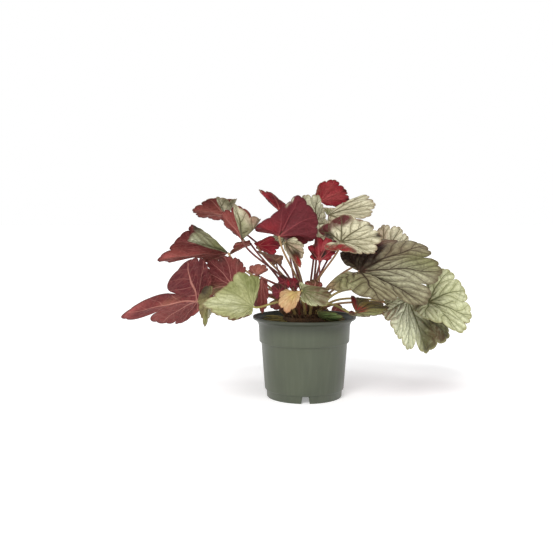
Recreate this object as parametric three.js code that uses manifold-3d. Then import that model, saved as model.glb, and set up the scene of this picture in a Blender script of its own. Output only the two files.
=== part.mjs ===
// A young heuchera (coral bells) in its round plastic grower pot, in millimetres, +Z up.
// The origin is the middle of the pot's foot, on the surface that the pot stands on.
// Every leaf is one closed body: a thin lobed blade with its petiole, rooted in a hole in the crown.
import * as THREE from 'three';
import { mergeVertices } from 'three/addons/utils/BufferGeometryUtils.js';
import Module from 'manifold-3d';

const wasm = await Module();
wasm.setup();

// ---------------------------------------------------------------- driving dimensions

const GAP = 0.3; // clearance between bodies that touch

// pot
const RIM_RADIUS = 52.5;
const POT_HEIGHT = 82.2;
const LIP = 2.6; // height of the rim's edge
const FLARE = 8; // height over which the wall widens to the rim
const WALL = 1.3;
const NECK_RADIUS = 46.8; // wall just under the flare
const SHOULDER_RADIUS = 45.9; // foot of the upper band
const SHOULDER_HEIGHT = 56.6;
const BODY_RADIUS = 43.9; // wall just under the upper band
const HEEL_RADIUS = 40.4; // lower end of the body
const HEEL_HEIGHT = 8.4;
const FOOT_RADIUS = 38.2;
const FOOT_WALL = 2;
const FLOOR = 7.4; // underside of the floor
const FLOOR_TOP = 9.2;
const NOTCHES = 4;
const NOTCH_WIDTH = 8.4; // at the ground
const NOTCH_TOP_WIDTH = 6.2;
const NOTCH_HEIGHT = 6.8;
const CUT_DEPTH = 12; // length of the cutters for notches and drains
const DRAINS = 8;
const DRAIN_RADIUS = 3;
const DRAIN_CIRCLE = 27;
const DRAIN_SIDES = 12;
const POT_SIDES = 32;

// soil and crown
const SOIL_EDGE = 72.5; // top of the soil at the wall
const SOIL_TOP = 76; // top of the soil in the middle
const SOIL_SLOPE = [36, 74.1]; // radius and height where the soil starts to rise
const SOIL_LEVEL = 26; // radius of its level middle
const CROWN_RADIUS = 21.5;
const CROWN_HEIGHT = 15;
const CROWN_ROUNDNESS = 0.86; // 0 for a flat top, 1 for a dome that comes down to the soil
const CROWN_SIDES = 28;
const ROOT_DEPTH = 8; // how deep a petiole stands in the crown
const HOLE_CLEARANCE = 0.35;
const HOLE_SIDES = 6;

// rings of petiole holes on the crown: distance from the axis, number of places, lean outward in degrees
const OUTER = { radius: 17.2, places: 20, lean: 26 };
const MIDDLE = { radius: 11.8, places: 13, lean: 16 };
const INNER = { radius: 6.4, places: 7, lean: 8 };
const HEART = { radius: 0, places: 1, lean: 0 };

// leaf blades
const VEINS = [-144, -96, -48, 0, 48, 96, 144]; // directions of the main veins round the junction
const REACH = [0.68, 0.84, 0.95, 1, 0.95, 0.84, 0.68]; // their lengths on an even blade
const LOBE_ANGLE = 48;
const EDGE_ANGLE = 168; // where the two rear edges lie
const LOBE_DEPTH = 0.13;
const TOOTH_DEPTH = 0.04;
const TEETH = 3; // on each lobe
const LOBE_ROUNDNESS = 0.45; // less is rounder, with narrower gaps
const TOOTH_ROUNDNESS = 0.6;
const FULL_REACH = 1.02; // outline at the middle of a lobe
const REAR_CLOSING = 0.62; // how near the curves of the two rear lobes come to each other
const FOLDED_REACH = 0.3; // a folded blade goes on past its rear veins by this share of the way to the next
const REAR_FADE = [150, 0.35]; // from this angle on the rear edges draw in by this share
const BOW = 0.12; // how far a vein arches above the straight line to its tip
const BOW_FADE = [130, 0.8]; // from this angle on the arch fades toward the rear edges by this share
const MARGIN_STEP = 8; // degrees between points of the margin
const PLAIN_MARGIN_STEP = 12;
const INNER_STEP = 24;
const SWAY = [7, 0.07]; // on an even blade, how the lobes differ in dip and in length
const JUNCTION_THICKNESS = 2.2;
const SMALL_JUNCTION_THICKNESS = 1.76;
const FOLDED_JUNCTION_THICKNESS = 0.6; // its faces spread from here like those of a cone
const BLADE_THICKNESS = 1.1;
const MARGIN_THICKNESS = 0.7;
const PETIOLE_RADIUS = 1.25;
const SMALL_PETIOLE_RADIUS = 0.9;
const PETIOLE_SIDES = 5;
const PETIOLE_STEPS = 5;
const SMALL_PETIOLE_SIDES = 4;
const SMALL_PETIOLE_STEPS = 3;
const ARCH = 0.42; // how far a petiole keeps its lean, as a share of its reach
const PETIOLE_END = 0.6; // how far it runs into the junction
const NECK = 0.28; // how far it runs straight toward the junction
const TO_ROOT = 0.7; // a petiole meets its blade from the root's side
const TO_UNDERSIDE = 0.35; // and from below

// ---------------------------------------------------------------- vectors and solids

const vector = (p) => new THREE.Vector3(p[0], p[1], p[2]);
const radians = (degrees) => THREE.MathUtils.degToRad(degrees);
const mix = THREE.MathUtils.lerp;

function solidOf(geometry) {
  const bare = geometry.clone();
  bare.deleteAttribute('normal');
  bare.deleteAttribute('uv');
  const merged = mergeVertices(bare, 1e-4);
  return new wasm.Manifold(new wasm.Mesh({
    numProp: 3,
    vertProperties: new Float32Array(merged.attributes.position.array),
    triVerts: new Uint32Array(merged.index.array),
  }));
}

// a named mesh of a solid, in a matte material of its own
function meshOf(name, solid, color, roughness = 0.6) {
  const cut = solid.getMesh();
  const geometry = new THREE.BufferGeometry();
  geometry.setAttribute('position', new THREE.BufferAttribute(new Float32Array(cut.vertProperties), 3));
  geometry.setIndex(new THREE.BufferAttribute(new Uint32Array(cut.triVerts), 1));
  geometry.computeVertexNormals();
  const material = new THREE.MeshStandardMaterial({ color, roughness, metalness: 0 });
  const mesh = new THREE.Mesh(geometry, material);
  mesh.name = name;
  return mesh;
}

// points: [radius, height] pairs round a closed profile that starts and ends on the axis
function turned(points, sides) {
  const profile = points.map(([r, z]) => new THREE.Vector2(r, z));
  const geometry = new THREE.LatheGeometry(profile, sides);
  geometry.rotateX(Math.PI / 2);
  return solidOf(geometry);
}

function subtractAll(solid, cutters) {
  return cutters.reduce((rest, cutter) => rest.subtract(cutter), solid);
}

// ---------------------------------------------------------------- pot

function buildPot() {
  const inner = (r) => r - WALL;
  let pot = turned([
    [0, FLOOR],
    [FOOT_RADIUS - FOOT_WALL, FLOOR],
    [FOOT_RADIUS - FOOT_WALL, 0],
    [FOOT_RADIUS, 0],
    [FOOT_RADIUS + 0.5, HEEL_HEIGHT - 0.8],
    [HEEL_RADIUS, HEEL_HEIGHT],
    [BODY_RADIUS, SHOULDER_HEIGHT - 0.8],
    [SHOULDER_RADIUS, SHOULDER_HEIGHT],
    [NECK_RADIUS, POT_HEIGHT - FLARE],
    [NECK_RADIUS + 1.6, POT_HEIGHT - FLARE + 3],
    [RIM_RADIUS, POT_HEIGHT - LIP],
    [RIM_RADIUS, POT_HEIGHT - 0.6],
    [RIM_RADIUS - 0.6, POT_HEIGHT],
    [RIM_RADIUS - 2, POT_HEIGHT],
    [NECK_RADIUS + 0.6, POT_HEIGHT - FLARE / 2],
    [inner(NECK_RADIUS), POT_HEIGHT - FLARE - 0.5],
    [inner(SHOULDER_RADIUS), SHOULDER_HEIGHT + 0.4],
    [inner(BODY_RADIUS), SHOULDER_HEIGHT - 0.6],
    [inner(HEEL_RADIUS), FLOOR_TOP],
    [0, FLOOR_TOP],
  ], POT_SIDES);
  const halfWidthAt = (z) => mix(NOTCH_WIDTH, NOTCH_TOP_WIDTH, z / NOTCH_HEIGHT) / 2;
  const corners = [[-1, -2], [1, -2], [1, NOTCH_HEIGHT], [-1, NOTCH_HEIGHT]];
  const section = new THREE.Shape(corners.map(([side, z]) => new THREE.Vector2(side * halfWidthAt(z), z)));
  const notch = new THREE.ExtrudeGeometry(section, { depth: CUT_DEPTH, bevelEnabled: false });
  notch.rotateX(Math.PI / 2).translate(0, CUT_DEPTH / 2 - FOOT_RADIUS, 0);
  for (let i = 0; i < NOTCHES; i++) {
    pot = pot.subtract(solidOf(notch.clone().rotateZ((i * 2 * Math.PI) / NOTCHES)));
  }
  for (let i = 0; i < DRAINS; i++) {
    const drain = new THREE.CylinderGeometry(DRAIN_RADIUS, DRAIN_RADIUS, CUT_DEPTH, DRAIN_SIDES);
    drain.rotateX(Math.PI / 2).translate(DRAIN_CIRCLE, 0, FLOOR).rotateZ(((i + 0.5) * 2 * Math.PI) / DRAINS);
    pot = pot.subtract(solidOf(drain));
  }
  return pot;
}

// ---------------------------------------------------------------- soil and crown

const crownBase = SOIL_TOP + GAP;

function buildSoil() {
  const bottom = FLOOR_TOP + GAP;
  const inside = (r) => r - WALL - GAP - 0.15;
  return turned([
    [0, bottom],
    [inside(HEEL_RADIUS), bottom],
    [inside(BODY_RADIUS), SHOULDER_HEIGHT - 0.9],
    [inside(SHOULDER_RADIUS), SHOULDER_HEIGHT + 0.9],
    [inside(SHOULDER_RADIUS) + 0.3, SOIL_EDGE],
    SOIL_SLOPE,
    [SOIL_LEVEL, SOIL_TOP],
    [0, SOIL_TOP],
  ], POT_SIDES);
}

// height of the crown's domed top at a distance from the axis
function crownTop(radius) {
  return crownBase + CROWN_HEIGHT * Math.sqrt(1 - (radius / CROWN_RADIUS) ** 2 * CROWN_ROUNDNESS);
}

function buildCrown(roots) {
  const dome = [[0, crownBase], [CROWN_RADIUS, crownBase]];
  for (const share of [1, 0.94, 0.8, 0.6, 0.35]) {
    dome.push([CROWN_RADIUS * share, crownTop(CROWN_RADIUS * share)]);
  }
  dome.push([0, crownTop(0)]);
  return subtractAll(turned(dome, CROWN_SIDES), roots.map(rootHole));
}

function rootHole(root) {
  const radius = (root.radius + HOLE_CLEARANCE) / Math.cos(Math.PI / HOLE_SIDES);
  const length = ROOT_DEPTH + GAP + CUT_DEPTH;
  const hole = new THREE.CylinderGeometry(radius, radius, length, HOLE_SIDES);
  hole.translate(0, length / 2 - ROOT_DEPTH - GAP, 0);
  hole.applyQuaternion(new THREE.Quaternion().setFromUnitVectors(new THREE.Vector3(0, 1, 0), root.lean));
  hole.translate(root.point.x, root.point.y, root.point.z);
  return solidOf(hole);
}

// the place where a petiole leaves the crown, and the way it leans there
function rootAt([ring, place], radius) {
  const angle = (2 * Math.PI * place) / ring.places;
  const out = new THREE.Vector3(Math.cos(angle), Math.sin(angle), 0);
  const point = out.clone().multiplyScalar(ring.radius).setZ(crownTop(ring.radius));
  const lean = out.clone().multiplyScalar(Math.sin(radians(ring.lean))).setZ(Math.cos(radians(ring.lean)));
  return { point, lean, radius };
}

// ---------------------------------------------------------------- blades

// a smooth curve through the tips of the seven veins, which closes behind the rear veins of an open blade
function alongVeins({ veins, folded }, angle) {
  const first = veins[0];
  const last = veins[6];
  const right = folded ? first.clone().lerp(veins[1], -FOLDED_REACH) : first.clone().lerp(last, REAR_CLOSING);
  const left = folded ? last.clone().lerp(veins[5], -FOLDED_REACH) : last.clone().lerp(first, REAR_CLOSING);
  const points = [last, right, ...veins, left, first];
  const at = (angle - VEINS[0]) / LOBE_ANGLE + 2;
  const i = Math.min(Math.max(Math.floor(at), 1), points.length - 3);
  const t = at - i;
  const [a, b, c, d] = points.slice(i - 1, i + 3);
  const place = new THREE.Vector3();
  for (const axis of ['x', 'y', 'z']) {
    place[axis] = 0.5 * (2 * b[axis] + (c[axis] - a[axis]) * t
      + (2 * a[axis] - 5 * b[axis] + 4 * c[axis] - d[axis]) * t * t
      + (3 * b[axis] - a[axis] - 3 * c[axis] + d[axis]) * t ** 3);
  }
  return place;
}

// how much of a fade an angle has reached: none up to the fade's own angle, all of it at the rear edges
function faded(angle, [from, amount]) {
  return amount * (Math.max(Math.abs(angle) - from, 0) / (EDGE_ANGLE - from));
}

// how far the outline reaches toward the curve through the vein tips: round lobes with small round teeth.
// cuts: how deep each of the six gaps between the lobes is. tooth: depth of the teeth
function outline(angle, { cuts, tooth }) {
  const wave = (count, power) => 1 - Math.abs(Math.cos((Math.PI * count * angle) / LOBE_ANGLE)) ** power;
  const gap = THREE.MathUtils.clamp(Math.floor((angle - VEINS[0]) / LOBE_ANGLE), 0, 5);
  const lobes = FULL_REACH - cuts[gap] * wave(1, LOBE_ROUNDNESS);
  const teeth = 1 - tooth * wave(TEETH, TOOTH_ROUNDNESS);
  return lobes * teeth * (1 - faded(angle, REAR_FADE));
}

// a point of the blade's middle surface, `share` of the way from the junction to the outline;
// where a blade is gathered, its veins lie closer together and arch less
function bladePoint(leaf, angle, share) {
  const reach = alongVeins(leaf, angle);
  const side = LOBE_ANGLE / 4;
  const before = alongVeins(leaf, angle - side).normalize();
  const after = alongVeins(leaf, angle + side).normalize();
  const up = before.cross(after).divideScalar(Math.sin(radians(2 * side))).clampLength(0, 1);
  const r = share * outline(angle, leaf);
  const bow = (leaf.bow ?? BOW) * (1 - faded(angle, BOW_FADE));
  const rise = reach.length() * bow * 4 * r * (1 - r);
  return leaf.at.clone().addScaledVector(reach, r).addScaledVector(up, rise);
}

function spaced(from, to, step) {
  const values = [];
  for (let value = from; value <= to + 1e-6; value += step) values.push(value);
  return values;
}

// triangles between two rows that run side by side; the second has `ratio` steps for each of the first
function strip(first, second, ratio) {
  const faces = [];
  for (let i = 0; i < first.length - 1; i++) {
    const half = Math.floor(ratio / 2);
    for (let j = 0; j < ratio; j++) {
      const near = j <= half ? first[i] : first[i + 1];
      faces.push([near, second[i * ratio + j], second[i * ratio + j + 1]]);
      if (j === half) faces.push([first[i], second[i * ratio + j + 1], first[i + 1]]);
    }
  }
  return faces;
}

// both faces carry the same triangles; the margin and the two rear edges join them
function buildBlade(leaf) {
  const margin = spaced(-EDGE_ANGLE, EDGE_ANGLE, leaf.small || leaf.plain ? PLAIN_MARGIN_STEP : MARGIN_STEP);
  const within = spaced(-EDGE_ANGLE, EDGE_ANGLE, INNER_STEP);
  const shares = leaf.rings ?? [0.5, 1];
  const points = [leaf.at.clone()];
  const thickness = [leaf.folded ? FOLDED_JUNCTION_THICKNESS : JUNCTION_THICKNESS];
  if (leaf.small) thickness[0] = SMALL_JUNCTION_THICKNESS;
  const rows = shares.map((share) => {
    const angles = share === 1 ? margin : within;
    return angles.map((angle) => {
      points.push(bladePoint(leaf, angle, share));
      thickness.push(share === 1 ? MARGIN_THICKNESS : BLADE_THICKNESS);
      return points.length - 1;
    });
  });
  const faces = [];
  for (let i = 0; i < rows[0].length - 1; i++) faces.push([0, rows[0][i], rows[0][i + 1]]);
  for (let i = 1; i < rows.length; i++) {
    faces.push(...strip(rows[i - 1], rows[i], (rows[i].length - 1) / (rows[i - 1].length - 1)));
  }
  const normals = points.map(() => new THREE.Vector3());
  for (const [a, b, c] of faces) {
    const normal = points[b].clone().sub(points[a]).cross(points[c].clone().sub(points[a]));
    for (const corner of [a, b, c]) normals[corner].add(normal);
  }
  const position = [];
  for (const side of [0.5, -0.5]) {
    points.forEach((point, i) => {
      const shifted = point.clone().addScaledVector(normals[i].normalize(), side * thickness[i]);
      position.push(shifted.x, shifted.y, shifted.z);
    });
  }
  const below = points.length;
  const index = [];
  for (const [a, b, c] of faces) index.push(a, b, c, a + below, c + below, b + below);
  const edge = [0, ...rows.map((row) => row[0])];
  edge.push(...rows.at(-1).slice(1), ...rows.slice(0, -1).reverse().map((row) => row.at(-1)));
  edge.forEach((a, i) => {
    const b = edge[(i + 1) % edge.length];
    index.push(a, b + below, b, a, a + below, b + below);
  });
  const geometry = new THREE.BufferGeometry();
  geometry.setAttribute('position', new THREE.Float32BufferAttribute(position, 3));
  geometry.setIndex(index);
  return solidOf(geometry);
}

// the middle line of a petiole: its first step is the straight root, the others follow a curve to the blade
class PetioleLine extends THREE.Curve {
  constructor(foot, curve, steps) {
    super();
    this.root = new THREE.LineCurve3(foot, curve.v0);
    this.curve = curve;
    this.steps = steps;
  }

  getPoint(t, target = new THREE.Vector3()) {
    const step = t * this.steps;
    if (step < 1) return this.root.getPoint(step, target);
    return this.curve.getPoint((step - 1) / (this.steps - 1), target);
  }

  // the steps follow the parameter and not the length, so that one of them ends where the straight root ends
  getUtoTmapping(u) {
    return u;
  }
}

// the petiole climbs from its hole in the crown and bends under the junction of the blade
function buildPetiole(leaf) {
  const { point, lean, radius } = leaf.root;
  const reach = leaf.at.distanceTo(point);
  const facing = new THREE.Vector3();
  for (let i = 0; i < leaf.veins.length - 1; i++) {
    facing.add(leaf.veins[i].clone().cross(leaf.veins[i + 1]));
  }
  const under = point.clone().sub(leaf.at).normalize().multiplyScalar(TO_ROOT);
  under.addScaledVector(facing.normalize(), -TO_UNDERSIDE).normalize();
  const curve = new THREE.CubicBezierCurve3(
    point,
    point.clone().addScaledVector(lean, reach * (leaf.arch ?? ARCH)),
    leaf.at.clone().addScaledVector(under, reach * (leaf.neck ?? NECK)),
    leaf.at.clone().addScaledVector(under, -PETIOLE_END),
  );
  const steps = leaf.small ? SMALL_PETIOLE_STEPS : PETIOLE_STEPS;
  const sides = leaf.small ? SMALL_PETIOLE_SIDES : PETIOLE_SIDES;
  const corners = [];
  for (let i = 0; i < sides; i++) {
    const turn = (2 * Math.PI * i) / sides;
    corners.push(new THREE.Vector2(radius * Math.cos(turn), radius * Math.sin(turn)));
  }
  const line = new PetioleLine(point.clone().addScaledVector(lean, -ROOT_DEPTH), curve, steps + 1);
  const section = new THREE.Shape(corners);
  return solidOf(new THREE.ExtrudeGeometry(section, { steps: steps + 1, extrudePath: line }));
}

// vein tips of a blade that opens evenly: `toward` is where its tip points, `face` where its upper side
// looks, and the tips hang about `droop` degrees below the junction's plane, in a sway that `phase` shifts
function evenly({ size, toward, face, droop = 12, phase = 0 }) {
  const tip = vector(toward).normalize();
  const up = vector(face);
  up.addScaledVector(tip, -up.dot(tip)).normalize();
  const left = up.clone().cross(tip);
  return VEINS.map((degrees, i) => {
    const angle = radians(degrees);
    const dip = radians(droop + SWAY[0] * Math.sin(2 * i + phase));
    const length = size * REACH[i] * (1 + SWAY[1] * Math.cos(3 * i + phase));
    return tip.clone().multiplyScalar(Math.cos(angle) * Math.cos(dip))
      .addScaledVector(left, Math.sin(angle) * Math.cos(dip))
      .addScaledVector(up, -Math.sin(dip))
      .multiplyScalar(length)
      .toArray();
  });
}

// ---------------------------------------------------------------- colours

const PLASTIC = 0x4f5a4a;
const EARTH = 0x2e2018;
const ROOTSTOCK = 0x3a2419;
const SILVER = 0xa9ae8f;
const FRESH = 0xb7bd88;
const BURGUNDY = 0x74303a;
const CRIMSON = 0x9a2a3c;
const TAN = 0xcda772;
const BROWN = 0x6b4632;

// ---------------------------------------------------------------- the leaves

// at: the junction of petiole and blade. veins: the tips of the seven main veins, measured from the junction,
// from the right rear lobe round the tip of the leaf to the left rear lobe, seen from above. folded: the rear
// edges run on past their veins instead of closing behind the petiole.
const LEAVES = [
  // left side
  {
    name: 'leaf_far_left', color: BURGUNDY, root: [OUTER, 10], at: [-105, -35, 101], bow: 0.1,
    cuts: [0.13, 0.13, 0.38, 0.54, 0.1, 0.13], tooth: 0.03,
    veins: [
      [0, 10, -11], [-20, 33, -26], [-41, 38, -27], [-76, 15, -17],
      [-9, -14, 38], [8, -15, 40], [14, -5, 20],
    ],
  },
  {
    name: 'leaf_left_fold', color: BURGUNDY, root: [OUTER, 9], at: [-76, -20, 147], lobe: 0.08, tooth: 0.02,
    folded: true,
    veins: [
      [-22, 15, -10], [-40, 25, -5], [-61, 25, -10], [-71, 15, -7],
      [-51, 5, 13], [-34, -10, 28], [-36, -25, 13],
    ],
  },
  {
    name: 'leaf_mid_left', color: BURGUNDY, root: [OUTER, 11], at: [-71, -36, 117],
    veins: [
      [-14, -4, -13], [-26, 2, -6], [-27, 5, 10], [-23, 2, 23],
      [-7, -5, 28], [7, -8, 25], [13, -8, 13],
    ],
  },
  {
    name: 'leaf_green_low', color: FRESH, root: [OUTER, 13], at: [-50, -66, 99],
    folded: true, lobe: 0.09, tooth: 0.03,
    veins: [
      [4, 12, 27], [-14, 13, 31], [-28, 6, 17], [-46, -10, 4],
      [-32, -19, -5], [-17, -20, -10], [-4, -12, -7],
    ],
  },
  {
    name: 'leaf_red_strip', color: BURGUNDY, root: [MIDDLE, 8], at: [-43, -46, 125], plain: true,
    folded: true,
    veins: [[6, 6, -5], [7, 6, -17], [5, 4, -29], [1, -2, -34], [-4, -8, -26], [-3, -9, -15], [-2, -7, -5]],
  },
  {
    name: 'leaf_olive_hanging', color: FRESH, root: [OUTER, 12], at: [-91, -59, 108], plain: true,
    veins: [
      [2, 4, 9], [-6, 5, 8], [-11, 2, -3], [-9, -4, -15],
      [-4, -8, -27], [2, -8, -15], [5, -4, -7],
    ],
  },
  {
    name: 'leaf_top_left', color: BURGUNDY, root: [MIDDLE, 4], at: [-82, 26, 184], neck: 0.12,
    folded: true,
    veins: [
      [-1, 14, -6], [-13, 12, -4], [-28, 4, -1], [-33, -6, 6],
      [-16, -12, 17], [13, -16, 17], [-5, -34, 18],
    ],
  },
  {
    name: 'leaf_second_left', color: BURGUNDY, root: [INNER, 4], at: [-63, -10, 160],
    folded: true,
    veins: [[2, 8, 0], [-9, 12, 6], [-18, 10, 15], [-20, 8, 27], [-3, 4, 33], [19, -4, 20], [-5, -20, 34]],
  },
  {
    name: 'leaf_brown_sliver', color: BROWN, root: [MIDDLE, 6], at: [-55, 3, 156], plain: true,
    folded: true, bow: 0.05,
    veins: [[-1, 6, -3], [-7, 8, -5], [-15, 4, -9], [-21, -4, -11], [-15, -4, 0], [-7, -3, 2], [-1, -3, 3]],
  },
  // middle
  {
    name: 'leaf_big_red', color: BURGUNDY, root: [INNER, 5], at: [-26, -42, 164], lobe: 0.06, tooth: 0.02,
    veins: [
      [-22, 27, 5], [-20, 14, 11], [3, 6, 27], [18, -8, 38],
      [35, -6, 20], [35, 0, -1], [20, 14, -8],
    ],
  },
  {
    name: 'leaf_top_sliver', color: CRIMSON, root: [INNER, 2], at: [-24, 20, 187], plain: true,
    folded: true,
    veins: [[0, 10, 2], [-8, 6, 7], [-15, 0, 14], [-22, -6, 23], [-10, -12, 20], [4, -12, 9], [6, -6, 4]],
  },
  {
    name: 'leaf_small_red', color: CRIMSON, root: [INNER, 3], at: [-48, 6, 153], plain: true,
    veins: [[-3, -6, 3], [4, -10, 6], [15, -8, 10], [23, -2, 1], [17, 6, -9], [7, 8, -6], [-1, 6, -3]],
  },
  {
    name: 'leaf_funnel', color: BROWN, root: [HEART, 0], at: [-20, -36, 158], plain: true,
    bow: 0,
    veins: [
      [-1, 2, 2], [-1, -6, -6], [4, -14, -13], [14, -14, -23],
      [17, -20, -9], [17, -14, -2], [9, -8, 5],
    ],
  },
  {
    name: 'leaf_small_green', color: FRESH, root: [OUTER, 16], at: [-4, -46, 112], plain: true,
    veins: [[0, -6, -9], [9, -12, -13], [22, -18, -12], [27, -14, -3], [23, -4, 3], [9, 8, 4], [-2, 8, 7]],
  },
  {
    name: 'leaf_tan', color: TAN, root: [OUTER, 15], at: [-10, -50, 111], plain: true,
    veins: [
      [-10, 4, 2], [-15, 2, -1], [-16, -6, -11], [-9, -12, -18],
      [-1, -12, -13], [3, -6, -6], [4, 0, 1],
    ],
  },
  {
    name: 'leaf_pink_small', color: BROWN, root: [MIDDLE, 5], at: [-49, -4, 125], small: true,
    veins: [[-4, 1, -3], [3, 0, -1], [12, -1, 4], [9, 1, 9], [2, 2, 10], [-6, 3, 8], [-8, 2, 2]],
  },
  {
    name: 'leaf_brown_small', color: BROWN, root: [MIDDLE, 7], at: [-29, -24, 140], small: true,
    veins: [[5, -2, -5], [7, 2, 4], [-1, 10, 5], [-9, 6, 6], [-18, -2, 9], [-8, -12, 1], [-2, -10, -4]],
  },
  {
    name: 'leaf_crumpled', color: CRIMSON, root: [MIDDLE, 1], at: [14, -10, 139], small: true,
    folded: true,
    veins: [[-8, -4, 3], [-10, -8, 13], [-2, -9, 22], [10, -3, 23], [18, 4, 15], [16, 11, 4], [5, 9, -1]],
  },
  // top
  {
    name: 'leaf_top_red', color: CRIMSON, root: [MIDDLE, 2], at: [17, 26, 199],
    folded: true,
    veins: [[-5, -7, 8], [-1, -15, 18], [14, -20, 21], [26, -11, 11], [30, -1, 2], [22, 9, -6], [8, 7, -4]],
  },
  {
    name: 'leaf_pale_right', color: SILVER, root: [INNER, 0], at: [25, 4, 184],
    veins: [[-1, -13, -12], [16, -25, -8], [39, -19, 0], [45, -9, 11], [37, 7, 21], [9, 12, 8], [-5, 7, 8]],
  },
  {
    name: 'leaf_pale_left', color: SILVER, root: [INNER, 1], at: [12, 12, 178],
    veins: [[5, -2, -32], [12, -2, -6], [8, -8, 12], [2, -12, 26], [-13, -4, 26], [-21, 4, 12], [-12, 6, -6]],
  },
  {
    name: 'leaf_silver_top', color: SILVER, root: [INNER, 6], at: [34, -38, 158],
    veins: [
      [-15, -6, -6], [9, -28, -9], [27, -30, -9], [36, -20, 6],
      [25, -4, 19], [2, 12, 26], [-21, 15, 12],
    ],
  },
  // right side
  {
    name: 'leaf_big_silver', color: SILVER, root: [MIDDLE, 12], at: [50, -50, 131],
    lobe: 0.18, rings: [0.36, 0.7, 1],
    veins: [
      [-30, -12, -15], [13, -36, -23], [54, -42, -26], [71, -28, 2],
      [61, -6, 24], [25, 24, 30], [-14, 22, 18],
    ],
  },
  {
    name: 'leaf_low_right', color: SILVER, root: [OUTER, 19], at: [97, -45, 102], arch: 0.2,
    folded: true, cuts: [0.13, 0.1, 0.08, 0.3, 0.06, 0.12],
    veins: [
      [-22, -6, 3], [-26, -15, -10], [-15, -23, -27], [-3, -17, -43],
      [18, -3, -49], [43, 13, -36], [41, 17, -17],
    ],
  },
  {
    name: 'leaf_far_right', color: SILVER, root: [OUTER, 0], at: [118, -38, 100], arch: 0.3,
    veins: [
      [-16, -12, -4], [-7, -22, -12], [26, -26, -25], [38, -16, -11],
      [35, 0, 13], [22, 12, 31], [5, 20, 26],
    ],
  },
  {
    name: 'leaf_olive_right', color: FRESH, root: [OUTER, 18], at: [46, -62, 93], plain: true,
    veins: [[-6, 4, -2], [5, -16, -2], [20, -22, 1], [28, -14, 6], [23, 4, 9], [7, 14, 12], [-3, 14, 14]],
  },
  {
    name: 'leaf_back_lobes', color: SILVER, root: [MIDDLE, 0], at: [84, 20, 145],
    veins: [
      [10, 10, -9], [26, 6, 2], [23, -6, 17], [13, -12, 27],
      [-3, -8, 29], [-15, 0, 16], [-12, 10, 2],
    ],
  },
  // far side
  {
    name: 'leaf_rear_left_low', color: SILVER, root: [OUTER, 7], at: [-67, 58, 101], plain: true,
    veins: evenly({ size: 42, toward: [-0.75, 0.6, -0.3], face: [-0.2, 0.5, 1], droop: 20, phase: 1 }),
  },
  {
    name: 'leaf_rear_left', color: SILVER, root: [OUTER, 8], at: [-92, 44, 121], plain: true,
    veins: evenly({ size: 40, toward: [-0.9, 0.4, -0.1], face: [-0.3, 0.3, 1], droop: 24, phase: 2.5 }),
  },
  {
    name: 'leaf_rear_top_left', color: SILVER, root: [OUTER, 6], at: [-18, 54, 165], plain: true,
    veins: evenly({ size: 36, toward: [-0.3, 0.9, 0.1], face: [-0.3, 0.4, 1], droop: 26, phase: 4 }),
  },
  {
    name: 'leaf_rear_top_right', color: SILVER, root: [OUTER, 4], at: [38, 52, 160], plain: true,
    veins: evenly({ size: 40, toward: [0.4, 0.85, 0.05], face: [0.3, 0.4, 1], droop: 22, phase: 5 }),
  },
  {
    name: 'leaf_rear_right', color: SILVER, root: [OUTER, 2], at: [80, 54, 126], plain: true,
    veins: evenly({ size: 44, toward: [0.8, 0.55, -0.1], face: [0.2, 0.5, 1], droop: 18, phase: 0.5 }),
  },
  {
    name: 'leaf_rear_right_low', color: SILVER, root: [OUTER, 1], at: [138, 46, 98], plain: true,
    veins: evenly({ size: 53, toward: [0.85, 0.42, -0.3], face: [0.3, 0.2, 1], droop: 15, phase: 3 }),
  },
  {
    name: 'leaf_rear_low', color: FRESH, root: [OUTER, 5], at: [-14, 64, 92], plain: true,
    veins: evenly({ size: 27, toward: [-0.1, 0.9, -0.35], face: [0.1, 0.45, 0.9], droop: 20, phase: 2 }),
  },
  {
    name: 'leaf_rear_low_right', color: FRESH, root: [OUTER, 3], at: [32, 66, 74], plain: true,
    veins: evenly({ size: 24, toward: [0.2, 0.3, -0.95], face: [0.1, 0.9, 0.3], droop: 8, phase: 4.5 }),
  },
  // young leaves low in the crown
  {
    name: 'leaf_young_left', color: BURGUNDY, root: [MIDDLE, 9], at: [-20, -40, 119], small: true,
    veins: evenly({ size: 9, toward: [-0.2, -0.1, 1], face: [0.6, 0.8, 0.2] }),
  },
  {
    name: 'leaf_young_middle', color: BURGUNDY, root: [MIDDLE, 10], at: [-11, -33, 117], small: true,
    veins: evenly({ size: 7.5, toward: [0.1, -0.1, 1], face: [0.5, 0.8, 0.2] }),
  },
  {
    name: 'leaf_young_low', color: BURGUNDY, root: [OUTER, 14], at: [-25, -40, 110], small: true,
    veins: evenly({ size: 10, toward: [-0.2, 0, 1], face: [0.5, 0.8, 0.2] }),
  },
  {
    name: 'leaf_young_right', color: CRIMSON, root: [MIDDLE, 11], at: [8, -32, 112], small: true,
    veins: evenly({ size: 11, toward: [0, -0.1, 1], face: [0.1, 0.9, 0.2] }),
  },
  {
    name: 'leaf_in_pot', color: FRESH, root: [OUTER, 17], at: [12, -30, 88], small: true,
    veins: [[2, 6, -4], [10, 4, -8], [19, 0, -7], [24, -6, -2], [16, -6, 2], [6, -2, 3], [0, 2, 4]],
  },
];

function prepare(row) {
  const radius = row.small ? SMALL_PETIOLE_RADIUS : PETIOLE_RADIUS;
  const cuts = row.cuts ?? Array(6).fill(row.lobe ?? LOBE_DEPTH);
  return {
    tooth: TOOTH_DEPTH,
    ...row,
    cuts,
    at: vector(row.at),
    veins: row.veins.map(vector),
    root: rootAt(row.root, radius),
  };
}

// ---------------------------------------------------------------- the plant

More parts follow.
